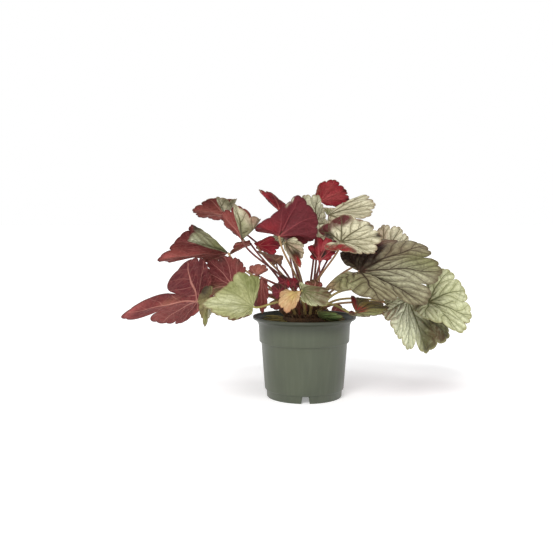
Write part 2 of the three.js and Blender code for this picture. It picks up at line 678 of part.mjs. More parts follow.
const plant = new THREE.Group();
const leaves = LEAVES.map(prepare);
plant.add(meshOf('pot', buildPot(), PLASTIC, 0.45));
plant.add(meshOf('soil', buildSoil(), EARTH, 0.9));
plant.add(meshOf('crown', buildCrown(leaves.map((leaf) => leaf.root)), ROOTSTOCK, 0.9));
for (const leaf of leaves) {
  plant.add(meshOf(leaf.name, buildBlade(leaf).add(buildPetiole(leaf)), leaf.color));
}

export default plant;
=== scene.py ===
# %% [markdown]
# # A young heuchera in its grower pot
#
# This lesson dresses a small foliage plant: a round plastic pot, its soil, a woody crown, and forty leaves
# that each stand on a thin stalk, the petiole. The rough solids are already made and packed. They hold
# every size, and this script builds the fine surfaces that the eye sees in the same places.
#
# We load the imported solids first. They are the frame that each new piece has to fit. Everything is in
# metres with Z up, and the sizes below are in millimetres times `MM`, because a plant of this size is easier
# to think about in millimetres.

# %% Load the imported solids
import math

import bpy
import numpy as np
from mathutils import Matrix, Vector, noise


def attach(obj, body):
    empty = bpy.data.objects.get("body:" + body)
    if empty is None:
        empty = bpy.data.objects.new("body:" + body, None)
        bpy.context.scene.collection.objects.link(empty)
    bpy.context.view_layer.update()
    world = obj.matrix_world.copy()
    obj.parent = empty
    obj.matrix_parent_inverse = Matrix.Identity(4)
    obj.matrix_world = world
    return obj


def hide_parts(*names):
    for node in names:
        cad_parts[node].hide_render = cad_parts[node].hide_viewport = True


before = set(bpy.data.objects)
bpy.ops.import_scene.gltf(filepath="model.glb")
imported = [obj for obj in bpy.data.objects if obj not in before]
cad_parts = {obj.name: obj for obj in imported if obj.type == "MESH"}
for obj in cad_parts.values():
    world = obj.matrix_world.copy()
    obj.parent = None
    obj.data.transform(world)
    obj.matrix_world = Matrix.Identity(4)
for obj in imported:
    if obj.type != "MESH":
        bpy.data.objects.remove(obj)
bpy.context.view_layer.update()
MM = 0.001

# %% [markdown]
# ## Camera, floor and light
#
# A plant is usually shown on a seamless pale ground, at about the height of its leaves. The camera stands
# 75 cm away and looks slightly down. A longer distance with a longer lens would flatten the plant, and a
# shorter one would make the front leaves too large.
#
# The floor is a plain sheet that runs far behind the plant, and the world round it looks just as white, so
# no horizon shows. What the camera sees of the world and what the world sends out as light are two values:
# a Light Path node keeps the backdrop white, while the weaker light leaves room for two lamps. The stronger
# one stands in front and a little to the left, the weaker one to the right. Both are suns as wide as a
# softbox: they light the whole floor evenly, and their shadows are soft. The floor glows a little itself,
# like a shooting table with a lamp below it, which thins the shadows on it and brings some light to the
# undersides of the leaves.

# %% Camera
CAMERA_AT = (-28.4 * MM, -750 * MM, 179 * MM)
CAMERA_DIP = 4.33  # degrees below the horizon
LENS = 48.2  # millimetres, in front of a sensor that is SENSOR wide
SENSOR = 36
NEAREST = 0.01  # metres, and nothing nearer is drawn
scene = bpy.context.scene
camera_data = bpy.data.cameras.new("camera")
camera_data.lens = LENS
camera_data.sensor_width = SENSOR
camera_data.clip_start = NEAREST
camera = bpy.data.objects.new("camera", camera_data)
camera.location = CAMERA_AT
camera.rotation_euler = (math.radians(90 - CAMERA_DIP), 0, 0)
scene.collection.objects.link(camera)
scene.camera = camera
print("camera at", CAMERA_AT, "lens", LENS)

# %% [markdown]
# A colour is easiest to name as a screen shows it, with 0 to 255 for red, green and blue. Shaders count the
# light itself, which rises much faster than those numbers, so one function turns the first into the second.

# %% Colours for shaders
def linear(red, green, blue):
    """A colour of 0 to 255 per channel as a linear RGBA tuple."""
    shares = [channel / 255 for channel in (red, green, blue)]
    return tuple(c / 12.92 if c <= 0.04045 else ((c + 0.055) / 1.055) ** 2.4 for c in shares) + (1.0,)


print("middle grey sends back", round(linear(128, 128, 128)[0], 3), "of the light")

# %% World
BACKDROP = 1.0  # as the camera sees it
SKY_LIGHT = 0.58  # as the plant gets it
scene.view_settings.view_transform = "Standard"
world = bpy.data.worlds.new("white surroundings")
world.use_nodes = True
sky = world.node_tree.nodes["Background"]
sky.inputs["Color"].default_value = (1, 1, 1, 1)
seen = world.node_tree.nodes.new("ShaderNodeLightPath").outputs["Is Camera Ray"]
strength = world.node_tree.nodes.new("ShaderNodeMapRange")
strength.inputs["To Min"].default_value = SKY_LIGHT
strength.inputs["To Max"].default_value = BACKDROP
world.node_tree.links.new(seen, strength.inputs["Value"])
world.node_tree.links.new(strength.outputs["Result"], sky.inputs["Strength"])
scene.world = world
print("the world looks", BACKDROP, "and lights with", SKY_LIGHT)

# %% Floor
SHEET = 30  # metres on a side
SHEET_MIDDLE = (0, 8, 0)  # most of it lies behind the plant
GLOW = 0.3
bpy.ops.mesh.primitive_plane_add(size=SHEET, location=SHEET_MIDDLE)
floor = bpy.context.object
floor.name = "floor"
paper = bpy.data.materials.new("pale paper")
paper.use_nodes = True
paper_shader = paper.node_tree.nodes["Principled BSDF"].inputs
paper_shader["Base Color"].default_value = linear(250, 250, 250)
paper_shader["Roughness"].default_value = 0.9
paper_shader["Emission Color"].default_value = (1, 1, 1, 1)
paper_shader["Emission Strength"].default_value = GLOW
floor.data.materials.append(paper)
print("floor sheet of", SHEET, "by", SHEET, "m")

# %% Lamps
def soft_sun(name, azimuth, elevation, width, power):
    """A sun as wide as a softbox, from an azimuth and an elevation in degrees."""
    data = bpy.data.lights.new(name, "SUN")
    data.angle = math.radians(width)
    data.energy = power
    lamp = bpy.data.objects.new(name, data)
    turn, rise = math.radians(azimuth), math.radians(elevation)
    away = Vector((math.cos(turn) * math.cos(rise), math.sin(turn) * math.cos(rise), math.sin(rise)))
    lamp.location = away * 2
    lamp.rotation_euler = away.to_track_quat("Z", "Y").to_euler()
    scene.collection.objects.link(lamp)


soft_sun("key softbox", azimuth=-108, elevation=40, width=30, power=1.9)
soft_sun("fill softbox", azimuth=-20, elevation=35, width=60, power=0.45)

# %% [markdown]
# ## Small helpers for shader nodes
#
# Each surface gets a material made of nodes: noise, masks and colour mixes that vary over the surface.
# Written out one by one, the nodes take a lot of lines. Four helpers keep the cells short: `add` makes any
# node and links or sets its inputs, `calculate` is a Math node, `ramp` is a smooth step from one value to
# another, and `mix_colors` is a Mix node for colours.
#
# An effect that several materials share is worth a node group: it is built once, and each material adds one
# node that stands for it. Two more helpers make such a group and the node.

# %% Node helpers
def add(tree, kind, inputs=None, **settings):
    """A shader node with its settings. Each input is a plain value or another node's output."""
    node = tree.nodes.new("ShaderNode" + kind)
    for name, value in settings.items():
        setattr(node, name, value)
    for name, value in (inputs or {}).items():
        if isinstance(value, bpy.types.NodeSocket):
            tree.links.new(value, node.inputs[name])
        else:
            node.inputs[name].default_value = value
    return node


def calculate(tree, operation, first, second=0.0, third=0.0):
    """The result of a Math node."""
    return add(tree, "Math", {0: first, 1: second, 2: third}, operation=operation).outputs[0]


def ramp(tree, value, low, high, to_low=0.0, to_high=1.0):
    """A smooth step: to_low up to low, to_high from high on."""
    inputs = {"Value": value, "From Min": low, "From Max": high, "To Min": to_low, "To Max": to_high}
    return add(tree, "MapRange", inputs, interpolation_type="SMOOTHSTEP").outputs["Result"]


def mix_colors(tree, share, first, second, blend_type="MIX"):
    """Two colours mixed. The color sockets of a Mix node have the places 6 and 7."""
    node = add(tree, "Mix", {0: share, 6: first, 7: second}, data_type="RGBA", blend_type=blend_type)
    return node.outputs[2]


# %% Helpers for node groups
def new_group(name, inputs, outputs):
    """An empty shader node group with inputs (name, kind, default value) and outputs (name, kind)."""
    group = bpy.data.node_groups.new(name, "ShaderNodeTree")
    for label, kind, default in inputs:
        socket = group.interface.new_socket(name=label, in_out="INPUT", socket_type="NodeSocket" + kind)
        if default is not None:
            socket.default_value = default
    for label, kind in outputs:
        group.interface.new_socket(name=label, in_out="OUTPUT", socket_type="NodeSocket" + kind)
    return group, group.nodes.new("NodeGroupInput").outputs, group.nodes.new("NodeGroupOutput").inputs


def grouped(tree, group, inputs):
    """The outputs of a node that stands for a group."""
    return add(tree, "Group", inputs, node_tree=group).outputs


print("six helpers for shader nodes are ready")

# %% [markdown]
# ## The vein pattern
#
# A heuchera blade has seven main veins that spread from the top of the petiole into its lobes. Side veins
# leave each of them at an angle, and a fine net fills what lies between. The silver kinds are loved for
# this pattern: the veins stay dark while the fields between them turn pale.
#
# It could be painted as an image, but we want it sharp from any distance. So each leaf mesh carries a flat
# coordinate, `leaf_place`: X and Y measure the blade from the petiole, with X toward its tip and one unit for
# 50 mm, and Z runs from 0 at the petiole to 1 at the margin. The group folds the angle round the petiole
# into one sector of 48 degrees, which gives the distance to the nearest main vein. Slanted stripes in that
# sector are the side veins, and two Voronoi textures, one coarse and one fine, are the net. All leaf
# materials share it.

# %% Leaf veins: how far the nearest main vein is
SECTOR = 48  # degrees between main veins
FLAT_UNIT = 50  # millimetres for one unit of the flat coordinate

veins, given, result = new_group(
    "leaf veins",
    [("Place", "Vector", None), ("Width", "Float", 0.024)],
    [("Main", "Float"), ("Side", "Float"), ("Net", "Float"), ("Field", "Float")],
)
axes = add(veins, "SeparateXYZ", {0: given["Place"]}).outputs
angle = calculate(veins, "ARCTAN2", axes["Y"], axes["X"])
sector = math.radians(SECTOR)
nearest = calculate(veins, "ROUND", calculate(veins, "DIVIDE", angle, sector))
off_vein = calculate(veins, "SUBTRACT", angle, calculate(veins, "MULTIPLY", nearest, sector))
flat = add(veins, "CombineXYZ", {"X": axes["X"], "Y": axes["Y"], "Z": 0.0}).outputs[0]
reach = add(veins, "VectorMath", {0: flat}, operation="LENGTH").outputs["Value"]
along = calculate(veins, "MULTIPLY", reach, calculate(veins, "COSINE", off_vein))
across = calculate(veins, "MULTIPLY", reach, calculate(veins, "SINE", off_vein))
beside = calculate(veins, "ABSOLUTE", across)
print("a main vein every", SECTOR, "degrees")

# %% Leaf veins: how far the nearest side vein is
SIDE_SLANT = 1.1  # how steeply side veins leave a main vein
SIDE_SPACING = 0.21  # between side veins

half_step = calculate(veins, "MULTIPLY", calculate(veins, "GREATER_THAN", across, 0.0), SIDE_SPACING / 2)
slanted = calculate(veins, "ADD", calculate(veins, "MULTIPLY_ADD", beside, -SIDE_SLANT, along), half_step)
stripe = calculate(veins, "FRACT", calculate(veins, "DIVIDE", slanted, SIDE_SPACING))
stripe_far = calculate(veins, "ABSOLUTE", calculate(veins, "SUBTRACT", stripe, 0.5))
side_far = calculate(veins, "MULTIPLY", stripe_far, SIDE_SPACING / math.hypot(1, SIDE_SLANT))
print("a side vein every", round(SIDE_SPACING * FLAT_UNIT, 1), "mm")

# %% Leaf veins: lines and fields
TAPER = 1.3  # a vein's width at the petiole, in times the given one; it falls by 1 toward the margin
SIDE_WIDTH = 0.6  # of the main vein's width
MAIN_CORE, SIDE_CORE = 0.3, 0.25  # share of the width that is fully dark
FIELD_EDGE = SIDE_SPACING * 0.3  # within this distance of a vein, a field fades out


def vein_line(distance, width, core):
    """1 in the core of a vein and 0 outside its width."""
    dark = calculate(veins, "MULTIPLY", width, core)
    return calculate(veins, "SUBTRACT", 1.0, ramp(veins, distance, dark, width))


main_width = calculate(veins, "MULTIPLY", given["Width"], calculate(veins, "SUBTRACT", TAPER, axes["Z"]))
main_line = vein_line(beside, main_width, MAIN_CORE)
side_line = vein_line(side_far, calculate(veins, "MULTIPLY", main_width, SIDE_WIDTH), SIDE_CORE)
field = ramp(veins, calculate(veins, "MINIMUM", beside, side_far), 0.0, FIELD_EDGE)

# %% Leaf veins: the net
def vein_net(scale, width, strength):
    """A net of fine veins along the borders of Voronoi cells."""
    cells = add(veins, "TexVoronoi", {"Vector": flat, "Scale": scale}, feature="DISTANCE_TO_EDGE")
    inside = ramp(veins, cells.outputs["Distance"], 0.01, width, 0.0, strength)
    return calculate(veins, "SUBTRACT", strength, inside)


fine_net = vein_net(15.0, 0.12, 0.55)
wide_net = vein_net(5.5, 0.09, 1.0)
net_line = calculate(veins, "MAXIMUM", fine_net, wide_net)
for label, value in (("Main", main_line), ("Side", side_line), ("Net", net_line), ("Field", field)):
    veins.links.new(value, result[label])
print("leaf veins group has", len(veins.nodes), "nodes")

# %% [markdown]
# ## Mottling
#
# No living surface and no used plastic has one even colour. A second group gives two soft noise masks, a
# broad one for clouds of colour and a fine one for grain. It reads the place in the object, so that it runs
# on over seams, and each material chooses its own scales.

# %% Node group: mottle
mottle, given, result = new_group(
    "mottle",
    [("Broad scale", "Float", 30.0), ("Fine scale", "Float", 400.0)],
    [("Broad", "Float"), ("Fine", "Float")],
)
place = add(mottle, "TexCoord").outputs["Object"]
broad = add(mottle, "TexNoise", {"Vector": place, "Scale": given["Broad scale"], "Detail": 3.0})
fine = add(mottle, "TexNoise", {"Vector": place, "Scale": given["Fine scale"], "Detail": 2.0})
mottle.links.new(ramp(mottle, broad.outputs["Fac"], 0.35, 0.65), result["Broad"])
mottle.links.new(ramp(mottle, fine.outputs["Fac"], 0.3, 0.7), result["Fine"])
print("mottle group has", len(mottle.nodes), "nodes")

# %% [markdown]
# ## Leaf surfaces
#
# The two faces of a blade look like different leaves. The upper face is pale with dark veins, slightly
# sunken, and the lower face is wine red with paler, raised veins. One function makes both kinds, from
# colours for the blade, for the clouds on it, for its veins and for its margin.
#
# Single leaves differ too: an old one fades to tan, a shaded one is olive, a young one crimson. A colour
# attribute on the mesh, `tint`, holds such patches, and its alpha says how strongly they cover the blade.
# That way forty leaves share a few materials.
#
# All materials here begin and end alike, so two helpers do that: one makes the empty material, and the
# other joins the finished colour, roughness and bump to its shader.

# %% Beginning and end of a material
def new_material(name):
    """A material with its node tree and its shader."""
    material = bpy.data.materials.new(name)
    material.use_nodes = True
    return material, material.node_tree, material.node_tree.nodes["Principled BSDF"]


def dress(tree, shader, color, roughness, height, strength, depth):
    """Join colour, roughness and a bump map to a shader. The bump's depth is in millimetres."""
    bump = add(tree, "Bump", {"Height": height, "Strength": strength, "Distance": depth * MM})
    for label, value in (("Base Color", color), ("Roughness", roughness), ("Normal", bump.outputs["Normal"])):
        tree.links.new(value, shader.inputs[label])


# %% Leaf material
LEAF_GRAIN = linear(236, 236, 230)
BLOTCH_SCALE = 170.0  # of the noise that makes the patches of pigment uneven


def leaf_material(name, blade, cloud, vein, margin, shares, width=0.024, relief=1):
    """A leaf surface. Its net of veins is sunken, or raised where relief is -1.

    shares says how strongly main veins, side veins, net and the dark halo round veins show."""
    material, tree, shader = new_material(name)
    main_share, side_share, net_share, halo_share = shares
    place = add(tree, "Attribute", attribute_name="leaf_place").outputs["Vector"]
    tint = add(tree, "Attribute", attribute_name="tint").outputs
    lines = grouped(tree, veins, {"Place": place, "Width": width})
    spots = grouped(tree, mottle, {"Broad scale": 55.0, "Fine scale": 520.0})

    halo = calculate(tree, "MULTIPLY", calculate(tree, "SUBTRACT", 1.0, lines["Field"]), halo_share)
    clouds = calculate(tree, "MULTIPLY_ADD", spots["Broad"], 0.55, halo)
    color = mix_colors(tree, clouds, linear(*blade), linear(*cloud))
    where = add(tree, "TexCoord").outputs["Object"]
    blotches = add(tree, "TexNoise", {"Vector": where, "Scale": BLOTCH_SCALE, "Detail": 2.0}).outputs["Fac"]
    uneven = calculate(tree, "MULTIPLY", tint["Alpha"], ramp(tree, blotches, 0.35, 0.55, 0.8, 1.06))
    color = mix_colors(tree, calculate(tree, "MINIMUM", uneven, 1.0), color, tint["Color"])
    main = calculate(tree, "MULTIPLY", lines["Main"], main_share)
    side = calculate(tree, "MULTIPLY", lines["Side"], side_share)
    net = calculate(tree, "MULTIPLY", lines["Net"], net_share)
    shown = calculate(tree, "MAXIMUM", main, calculate(tree, "MAXIMUM", side, net))
    color = mix_colors(tree, shown, color, linear(*vein))
    share = add(tree, "SeparateXYZ", {0: place}).outputs["Z"]
    color = mix_colors(tree, ramp(tree, share, 0.93, 1.0, 0.0, 0.7), color, linear(*margin))
    color = mix_colors(tree, spots["Fine"], color, LEAF_GRAIN, "MULTIPLY")

    roughness = ramp(tree, spots["Broad"], 0, 1, 0.5, 0.64)
    height = calculate(tree, "MULTIPLY_ADD", lines["Net"], -0.4 * relief, lines["Field"])
    height = calculate(tree, "MULTIPLY_ADD", spots["Fine"], 0.15, height)
    dress(tree, shader, color, roughness, height, strength=0.7, depth=1.0)
    shader.inputs["Specular IOR Level"].default_value = 0.25
    return material


# %% The upper faces
CLEAR = (0.95, 0.8, 0.34, 0.7)  # main veins, side veins, net and halo
FAINT = (0.6, 0.4, 0.3, 0.4)
UPPER_FACES = {
    "silver": ("silver leaf", (226, 220, 190), (188, 180, 150), (90, 83, 56), (140, 116, 90), CLEAR, 0.027),
    "pale": (
        "pale green leaf", (216, 218, 180), (186, 188, 146), (102, 104, 66), (150, 144, 96), CLEAR, 0.027
    ),
    "grey": ("grey leaf", (164, 158, 126), (126, 116, 88), (58, 44, 30), (90, 76, 54), CLEAR, 0.034),
    "sage": ("sage leaf", (152, 152, 122), (124, 120, 92), (88, 82, 54), (84, 48, 40), CLEAR, 0.026),
    "fresh": ("fresh leaf", (192, 192, 144), (166, 166, 114), (124, 126, 78), (118, 88, 60), FAINT, 0.026),
    "olive": ("olive leaf", (140, 130, 88), (112, 98, 62), (78, 68, 40), (96, 68, 46), FAINT),
    "tan": ("fading leaf", (206, 178, 134), (194, 154, 110), (172, 124, 84), (160, 104, 74), FAINT),
}
LEAF_SURFACES = {key: leaf_material(*row) for key, row in UPPER_FACES.items()}
print("upper faces:", ", ".join(UPPER_FACES))

# %% The undersides
RIBS = (0.7, 0.32, 0.1, 0.25)
RIB_WIDTH = 0.017
UNDERSIDES = {
    "burgundy": ("burgundy underside", (116, 32, 44), (94, 24, 34), (140, 60, 64), (76, 26, 30)),
    # ruby is a lighter copy of burgundy: painted light for lower faces turned from the lamps
    "ruby": ("ruby underside", (148, 68, 62), (122, 50, 48), (192, 132, 118), (92, 36, 36)),
    "rose": ("rose underside", (136, 66, 62), (114, 48, 46), (184, 122, 112), (92, 38, 38)),
    "crimson": ("crimson underside", (186, 40, 60), (150, 26, 46), (204, 104, 100), (92, 20, 28)),
    "brown": ("brown underside", (108, 74, 58), (84, 56, 42), (144, 108, 82), (66, 44, 34)),
}
for key, row in UNDERSIDES.items():
    LEAF_SURFACES[key] = leaf_material(*row, RIBS, RIB_WIDTH, relief=-1)
print("undersides:", ", ".join(UNDERSIDES))

# %% [markdown]
# ## Petiole surfaces
#
# A petiole is juicy and slightly grooved, red where the sun reaches it and green or tan below. Its colour
# runs along its length, so the same attribute serves again: on a petiole X goes from 0 at the crown to 1 at
# the blade.

# %% Petiole material
def petiole_material(name, foot, top, streak):
    """A petiole whose colour changes from its foot to its top, with fine streaks."""
    material, tree, shader = new_material(name)
    place = add(tree, "Attribute", attribute_name="leaf_place").outputs["Vector"]
    spots = grouped(tree, mottle, {"Broad scale": 60.0, "Fine scale": 700.0})
    height = add(tree, "SeparateXYZ", {0: place}).outputs["X"]
    color = mix_colors(tree, ramp(tree, height, 0.05, 0.8), linear(*foot), linear(*top))
    color = mix_colors(tree, calculate(tree, "MULTIPLY", spots["Broad"], 0.5), color, linear(*streak))
    roughness = ramp(tree, spots["Fine"], 0, 1, 0.36, 0.52)
    dress(tree, shader, color, roughness, spots["Fine"], strength=0.4, depth=0.2)
    return material


PETIOLE_SURFACES = {
    "wine": petiole_material("wine petiole", (110, 56, 46), (98, 34, 40), (138, 88, 66)),
    "rosy": petiole_material("rosy petiole", (156, 92, 72), (146, 56, 58), (180, 124, 96)),
    "tan": petiole_material("tan petiole", (132, 104, 68), (170, 138, 96), (126, 74, 56)),
    "green": petiole_material("green petiole", (170, 150, 96), (164, 158, 92), (150, 126, 74)),
}
print("petiole surfaces:", ", ".join(PETIOLE_SURFACES))

# %% [markdown]
# ## Where the petioles stand
#
# All leaves of a heuchera grow from a short woody crown. Old leaves stand outside and lean outward, and the
# youngest stand upright in its middle. So the places lie on rings round the pot's axis, and each ring has
# its own lean. A petiole starts at its place, keeps that lean for a while, and bends under its blade.

# %% Rings of petiole places
CROWN_BASE = 76.3  # where the crown sits on the soil
CROWN_RADIUS = 21.5
CROWN_HEIGHT = 15
CROWN_ROUNDNESS = 0.86  # at 1 the dome would come down to its base, and at 0 it would be flat
OUTER = {"radius": 17.2, "places": 20, "lean": 26}
MIDDLE = {"radius": 11.8, "places": 13, "lean": 16}
INNER = {"radius": 6.4, "places": 7, "lean": 8}
HEART = {"radius": 0, "places": 1, "lean": 0}


def crown_top(radius):
    """Height of the crown's dome at a distance from the axis."""
    return CROWN_BASE + CROWN_HEIGHT * np.sqrt(1 - (radius / CROWN_RADIUS) ** 2 * CROWN_ROUNDNESS)


def outward(turn):
    """The level direction away from the axis, for a turn in radians."""
    return np.array([math.cos(turn), math.sin(turn), 0])


def petiole_place(ring, place):
    """Where a petiole leaves the crown, and the way it leans there."""
    out = outward(2 * math.pi * place / ring["places"])
    lean = math.radians(ring["lean"])
    start = out * ring["radius"] + np.array([0, 0, crown_top(ring["radius"])])
    return start, out * math.sin(lean) + np.array([0, 0, math.cos(lean)])


print("places for", sum(ring["places"] for ring in (OUTER, MIDDLE, INNER, HEART)), "petioles")

# %% [markdown]
# ## The shape of a blade
#
# A blade could be a flat outline that is bent afterwards. A heuchera's blades fold, hang and twist, so that
# gets hard to steer. Here each blade is drawn in space at once: seven vein tips round the top of the petiole
# say where the lobes end, a smooth curve runs through them, and each point of the blade lies on the way
# from the petiole to that curve. Every vein arches a little on its way, which makes the blade a soft dome.
#
# The outline shrinks between the veins, which makes the lobes, and again three times on each lobe, which
# makes the small round teeth.

# %% A curve through the vein tips
VEIN_ANGLES = tuple(SECTOR * i for i in range(-3, 4))
REAR_VEIN = VEIN_ANGLES[-1]
CLOSING = 0.62  # how far behind its rear veins an open blade draws together
RUN_ON = 0.3  # how far a folded one runs on past them


def along_tips(leaf, angle):
    """Points of a smooth curve through the seven vein tips, for an array of angles in degrees.

    On an open blade it closes behind the rear veins, and on a folded one it runs on past them."""
    tips = np.array(leaf["veins"], float)
    closing = (tips[6] - tips[0]) * CLOSING
    right = tips[0] + ((tips[0] - tips[1]) * RUN_ON if leaf["folded"] else closing)
    left = tips[6] + ((tips[6] - tips[5]) * RUN_ON if leaf["folded"] else -closing)
    points = np.array([tips[6], right, *tips, left, tips[0]])
    at = (angle + REAR_VEIN) / SECTOR + 2
    i = np.clip(np.floor(at).astype(int), 1, 8)
    t = (at - i)[:, None]
    a, b, c, d = points[i - 1], points[i], points[i + 1], points[i + 2]
    curve = 2 * b + (c - a) * t + (2 * a - 5 * b + 4 * c - d) * t**2 + (3 * b - a - 3 * c + d) * t**3
    return curve / 2


print("main veins at", VEIN_ANGLES, "degrees")

# %% Lobes and teeth
EDGE_ANGLE = 168  # where the two rear edges lie, left and right of the petiole
LOBE_DEPTH = 0.13
TOOTH_DEPTH = 0.04
LOBE_TIP = 1.02  # how far the tip of a lobe reaches, in times the vein
TEETH = 3  # on each lobe
LOBE_CURVE, TOOTH_CURVE = 0.45, 0.6  # below 1 the gaps are sharp and the tips round


def faded(angle, start, amount):
    """A fade toward the rear edges: nothing up to the start angle, the whole amount at the edges."""
    return amount * np.clip((np.abs(angle) - start) / (EDGE_ANGLE - start), 0, 1)


def outline(angle, cuts, tooth):
    """How far the blade reaches toward the curve through its tips, with six gaps and small teeth."""
    gap = np.clip(np.floor((angle + REAR_VEIN) / SECTOR).astype(int), 0, 5)
    lobes = LOBE_TIP - np.array(cuts)[gap] * (1 - np.abs(np.cos(np.pi * angle / SECTOR)) ** LOBE_CURVE)
    teeth = 1 - tooth * (1 - np.abs(np.cos(TEETH * np.pi * angle / SECTOR)) ** TOOTH_CURVE)
    return lobes * teeth * (1 - faded(angle, 150, 0.35))


print("a plain blade reaches", outline(np.array([0, SECTOR / 2]), [LOBE_DEPTH] * 6, TOOTH_DEPTH).round(2))

# %% The middle surface of a blade
BOW = 0.12  # how far a vein arches, as a share of its length
NEIGHBOUR = 12  # degrees to the places on both sides that tell which way is up


def unit(vectors):
    """Vectors, made one unit long."""
    return vectors / np.maximum(np.linalg.norm(vectors, axis=-1, keepdims=True), 1e-9)


def blade_surface(leaf, angle, share):
    """The blade's middle surface: one row of points for each share of the way to the outline.

    Where a blade is gathered, its veins lie closer together and arch less."""
    reach = along_tips(leaf, angle)
    up = np.cross(unit(along_tips(leaf, angle - NEIGHBOUR)), unit(along_tips(leaf, angle + NEIGHBOUR)))
    up /= np.maximum(np.linalg.norm(up, axis=1, keepdims=True), math.sin(math.radians(2 * NEIGHBOUR)))
    r = share[:, None] * outline(angle, leaf["cuts"], leaf["tooth"])[None, :]
    bow = leaf["bow"] * (1 - faded(angle, 130, 0.8))
    rise = np.linalg.norm(reach, axis=1) * bow * 4 * r * (1 - r)
    return np.array(leaf["at"], float) + r[..., None] * reach + rise[..., None] * up, r


# %% [markdown]
# ## Quilting
#
# Between its veins a heuchera blade swells, like a quilt between its seams. A bump map alone would leave
# the silhouette and the highlights flat, so the mesh itself gets this relief. The same folding of angles as
# in the vein group tells how far a point is from the nearest vein, and both read the same coordinate, so
# the painted veins lie in the valleys. Sines bend that coordinate a little, so that no vein is straight.

# %% Flat coordinate and relief
FIELD_TOP = SIDE_SPACING * 0.5  # as far as this from a main vein, a field has risen fully
SIDE_RELIEF = 0.6  # how much of the relief the side veins make


def flat_place(leaf, angle, r):
    """The bent flat coordinate of each point of a blade, and the length of its veins in flat units."""
    size = np.mean(np.linalg.norm(np.array(leaf["veins"], float), axis=1)) / FLAT_UNIT
    turn = np.radians(angle)[None, :]
    x = r * size * np.cos(turn)
    y = r * size * np.sin(turn)
    phase = sum(leaf["at"]) * 0.1  # every leaf gets its own bends
    bent_x = x + (0.036 * np.sin(8 * y + phase) + 0.018 * np.sin(19 * y + 3 * phase)) * r
    bent_y = y + (0.042 * np.sin(7 * x + 2 * phase) + 0.02 * np.sin(17 * x + phase)) * r
    return bent_x, bent_y, size


def smooth(value):
    """A share from 0 to 1 with soft ends."""
    return value * value * (3 - 2 * value)


def swelling(x, y):
    """0 on the veins and 1 in the middle of the fields between them."""
    turn = np.arctan2(y, x)
    off_vein = turn - sector * np.round(turn / sector)
    reach = np.hypot(x, y)
    across = reach * np.sin(off_vein)
    beside = np.abs(across)
    slanted = reach * np.cos(off_vein) - SIDE_SLANT * beside + SIDE_SPACING / 2 * (across > 0)
    stripe = slanted / SIDE_SPACING
    side_far = np.abs(stripe - np.floor(stripe) - 0.5) * SIDE_SPACING / math.hypot(1, SIDE_SLANT)
    main = np.clip(beside / FIELD_TOP, 0, 1)
    side = np.clip(side_far / FIELD_EDGE, 0, 1)
    return smooth(main) * (1 - SIDE_RELIEF + SIDE_RELIEF * smooth(side))


print("relief on a vein and in a field:", swelling(np.array([0.5, 0.5]), np.array([0.0, 0.2])).round(2))

# %% [markdown]
# ## From surface to leaf
#
# A blade is less than half a millimetre thick, and its main veins stand out below as ribs. The mesh
# therefore has an upper and a lower skin, joined along the margin, so that it looks right from every side
# and edge on. Its rows are finer for the large leaves.

# %% Two skins
THICKNESS = 0.4
RIB_DEPTH = 0.5
RUFFLES = 7.5  # waves of the margin for one turn round the petiole


def blade_skins(leaf, angle, share):
    """Grids of the upper skin, the lower skin, the flat coordinate, and r."""
    middle, r = blade_surface(leaf, angle, share)
    x, y, size = flat_place(leaf, angle, r)
    normal = unit(np.cross(np.gradient(middle, axis=0), np.gradient(middle, axis=1)))
    normal[0] = unit(normal[1].mean(axis=0))
    field = swelling(x, y)
    fade = np.clip(share * 4, 0, 1)[:, None] * np.clip((1 - share) * 5, 0.25, 1)[:, None]
    puff = leaf["puff"] * size * (field - 0.5) * fade
    wave = np.sin(np.radians(RUFFLES * angle) + leaf["at"][0])
    ruffle = leaf["ruffle"] * size * share[:, None] ** 3 * wave
    rib = RIB_DEPTH * (1 - field) ** 4 * (1.1 - share)[:, None]
    lifted = middle + normal * (puff + ruffle)[..., None]
    upper = lifted + normal * THICKNESS / 2
    lower = lifted - normal * (THICKNESS / 2 + rib)[..., None]
    return upper, lower, np.stack([x, y, np.broadcast_to(share[:, None], x.shape)], axis=-1), r


# %% Faces of a blade
UPPER, LOWER, PETIOLE = 0, 1, 2  # places of the three materials of a leaf


def blade_faces(rows, columns):
    """Faces of both skins and of the margin that joins them, their materials, and the margin's points.

    The first row of a skin is a single point, where the petiole ends."""
    half = 1 + rows * columns
    index = 1 + np.arange(rows * columns).reshape(rows, columns)
    top = [(0, a, b) for a, b in zip(index[0, :-1], index[0, 1:])]
    quads = np.stack([index[:-1, :-1], index[1:, :-1], index[1:, 1:], index[:-1, 1:]], axis=-1).reshape(-1, 4)
    top += [tuple(q) for q in quads]
    bottom = [tuple(half + i for i in reversed(face)) for face in top]
    loop = [0, *index[:, 0], *index[-1, 1:], *index[-2::-1, -1]]
    sides = [(a, a + half, b + half, b) for a, b in zip(loop, loop[1:] + loop[:1])]
    slots = [UPPER] * len(top) + [LOWER] * len(bottom) + [UPPER] * len(sides)
    return top + bottom + sides, slots, set(loop) | {i + half for i in loop}


print("a blade of 24 rows and 169 columns has", len(blade_faces(24, 169)[0]), "faces")
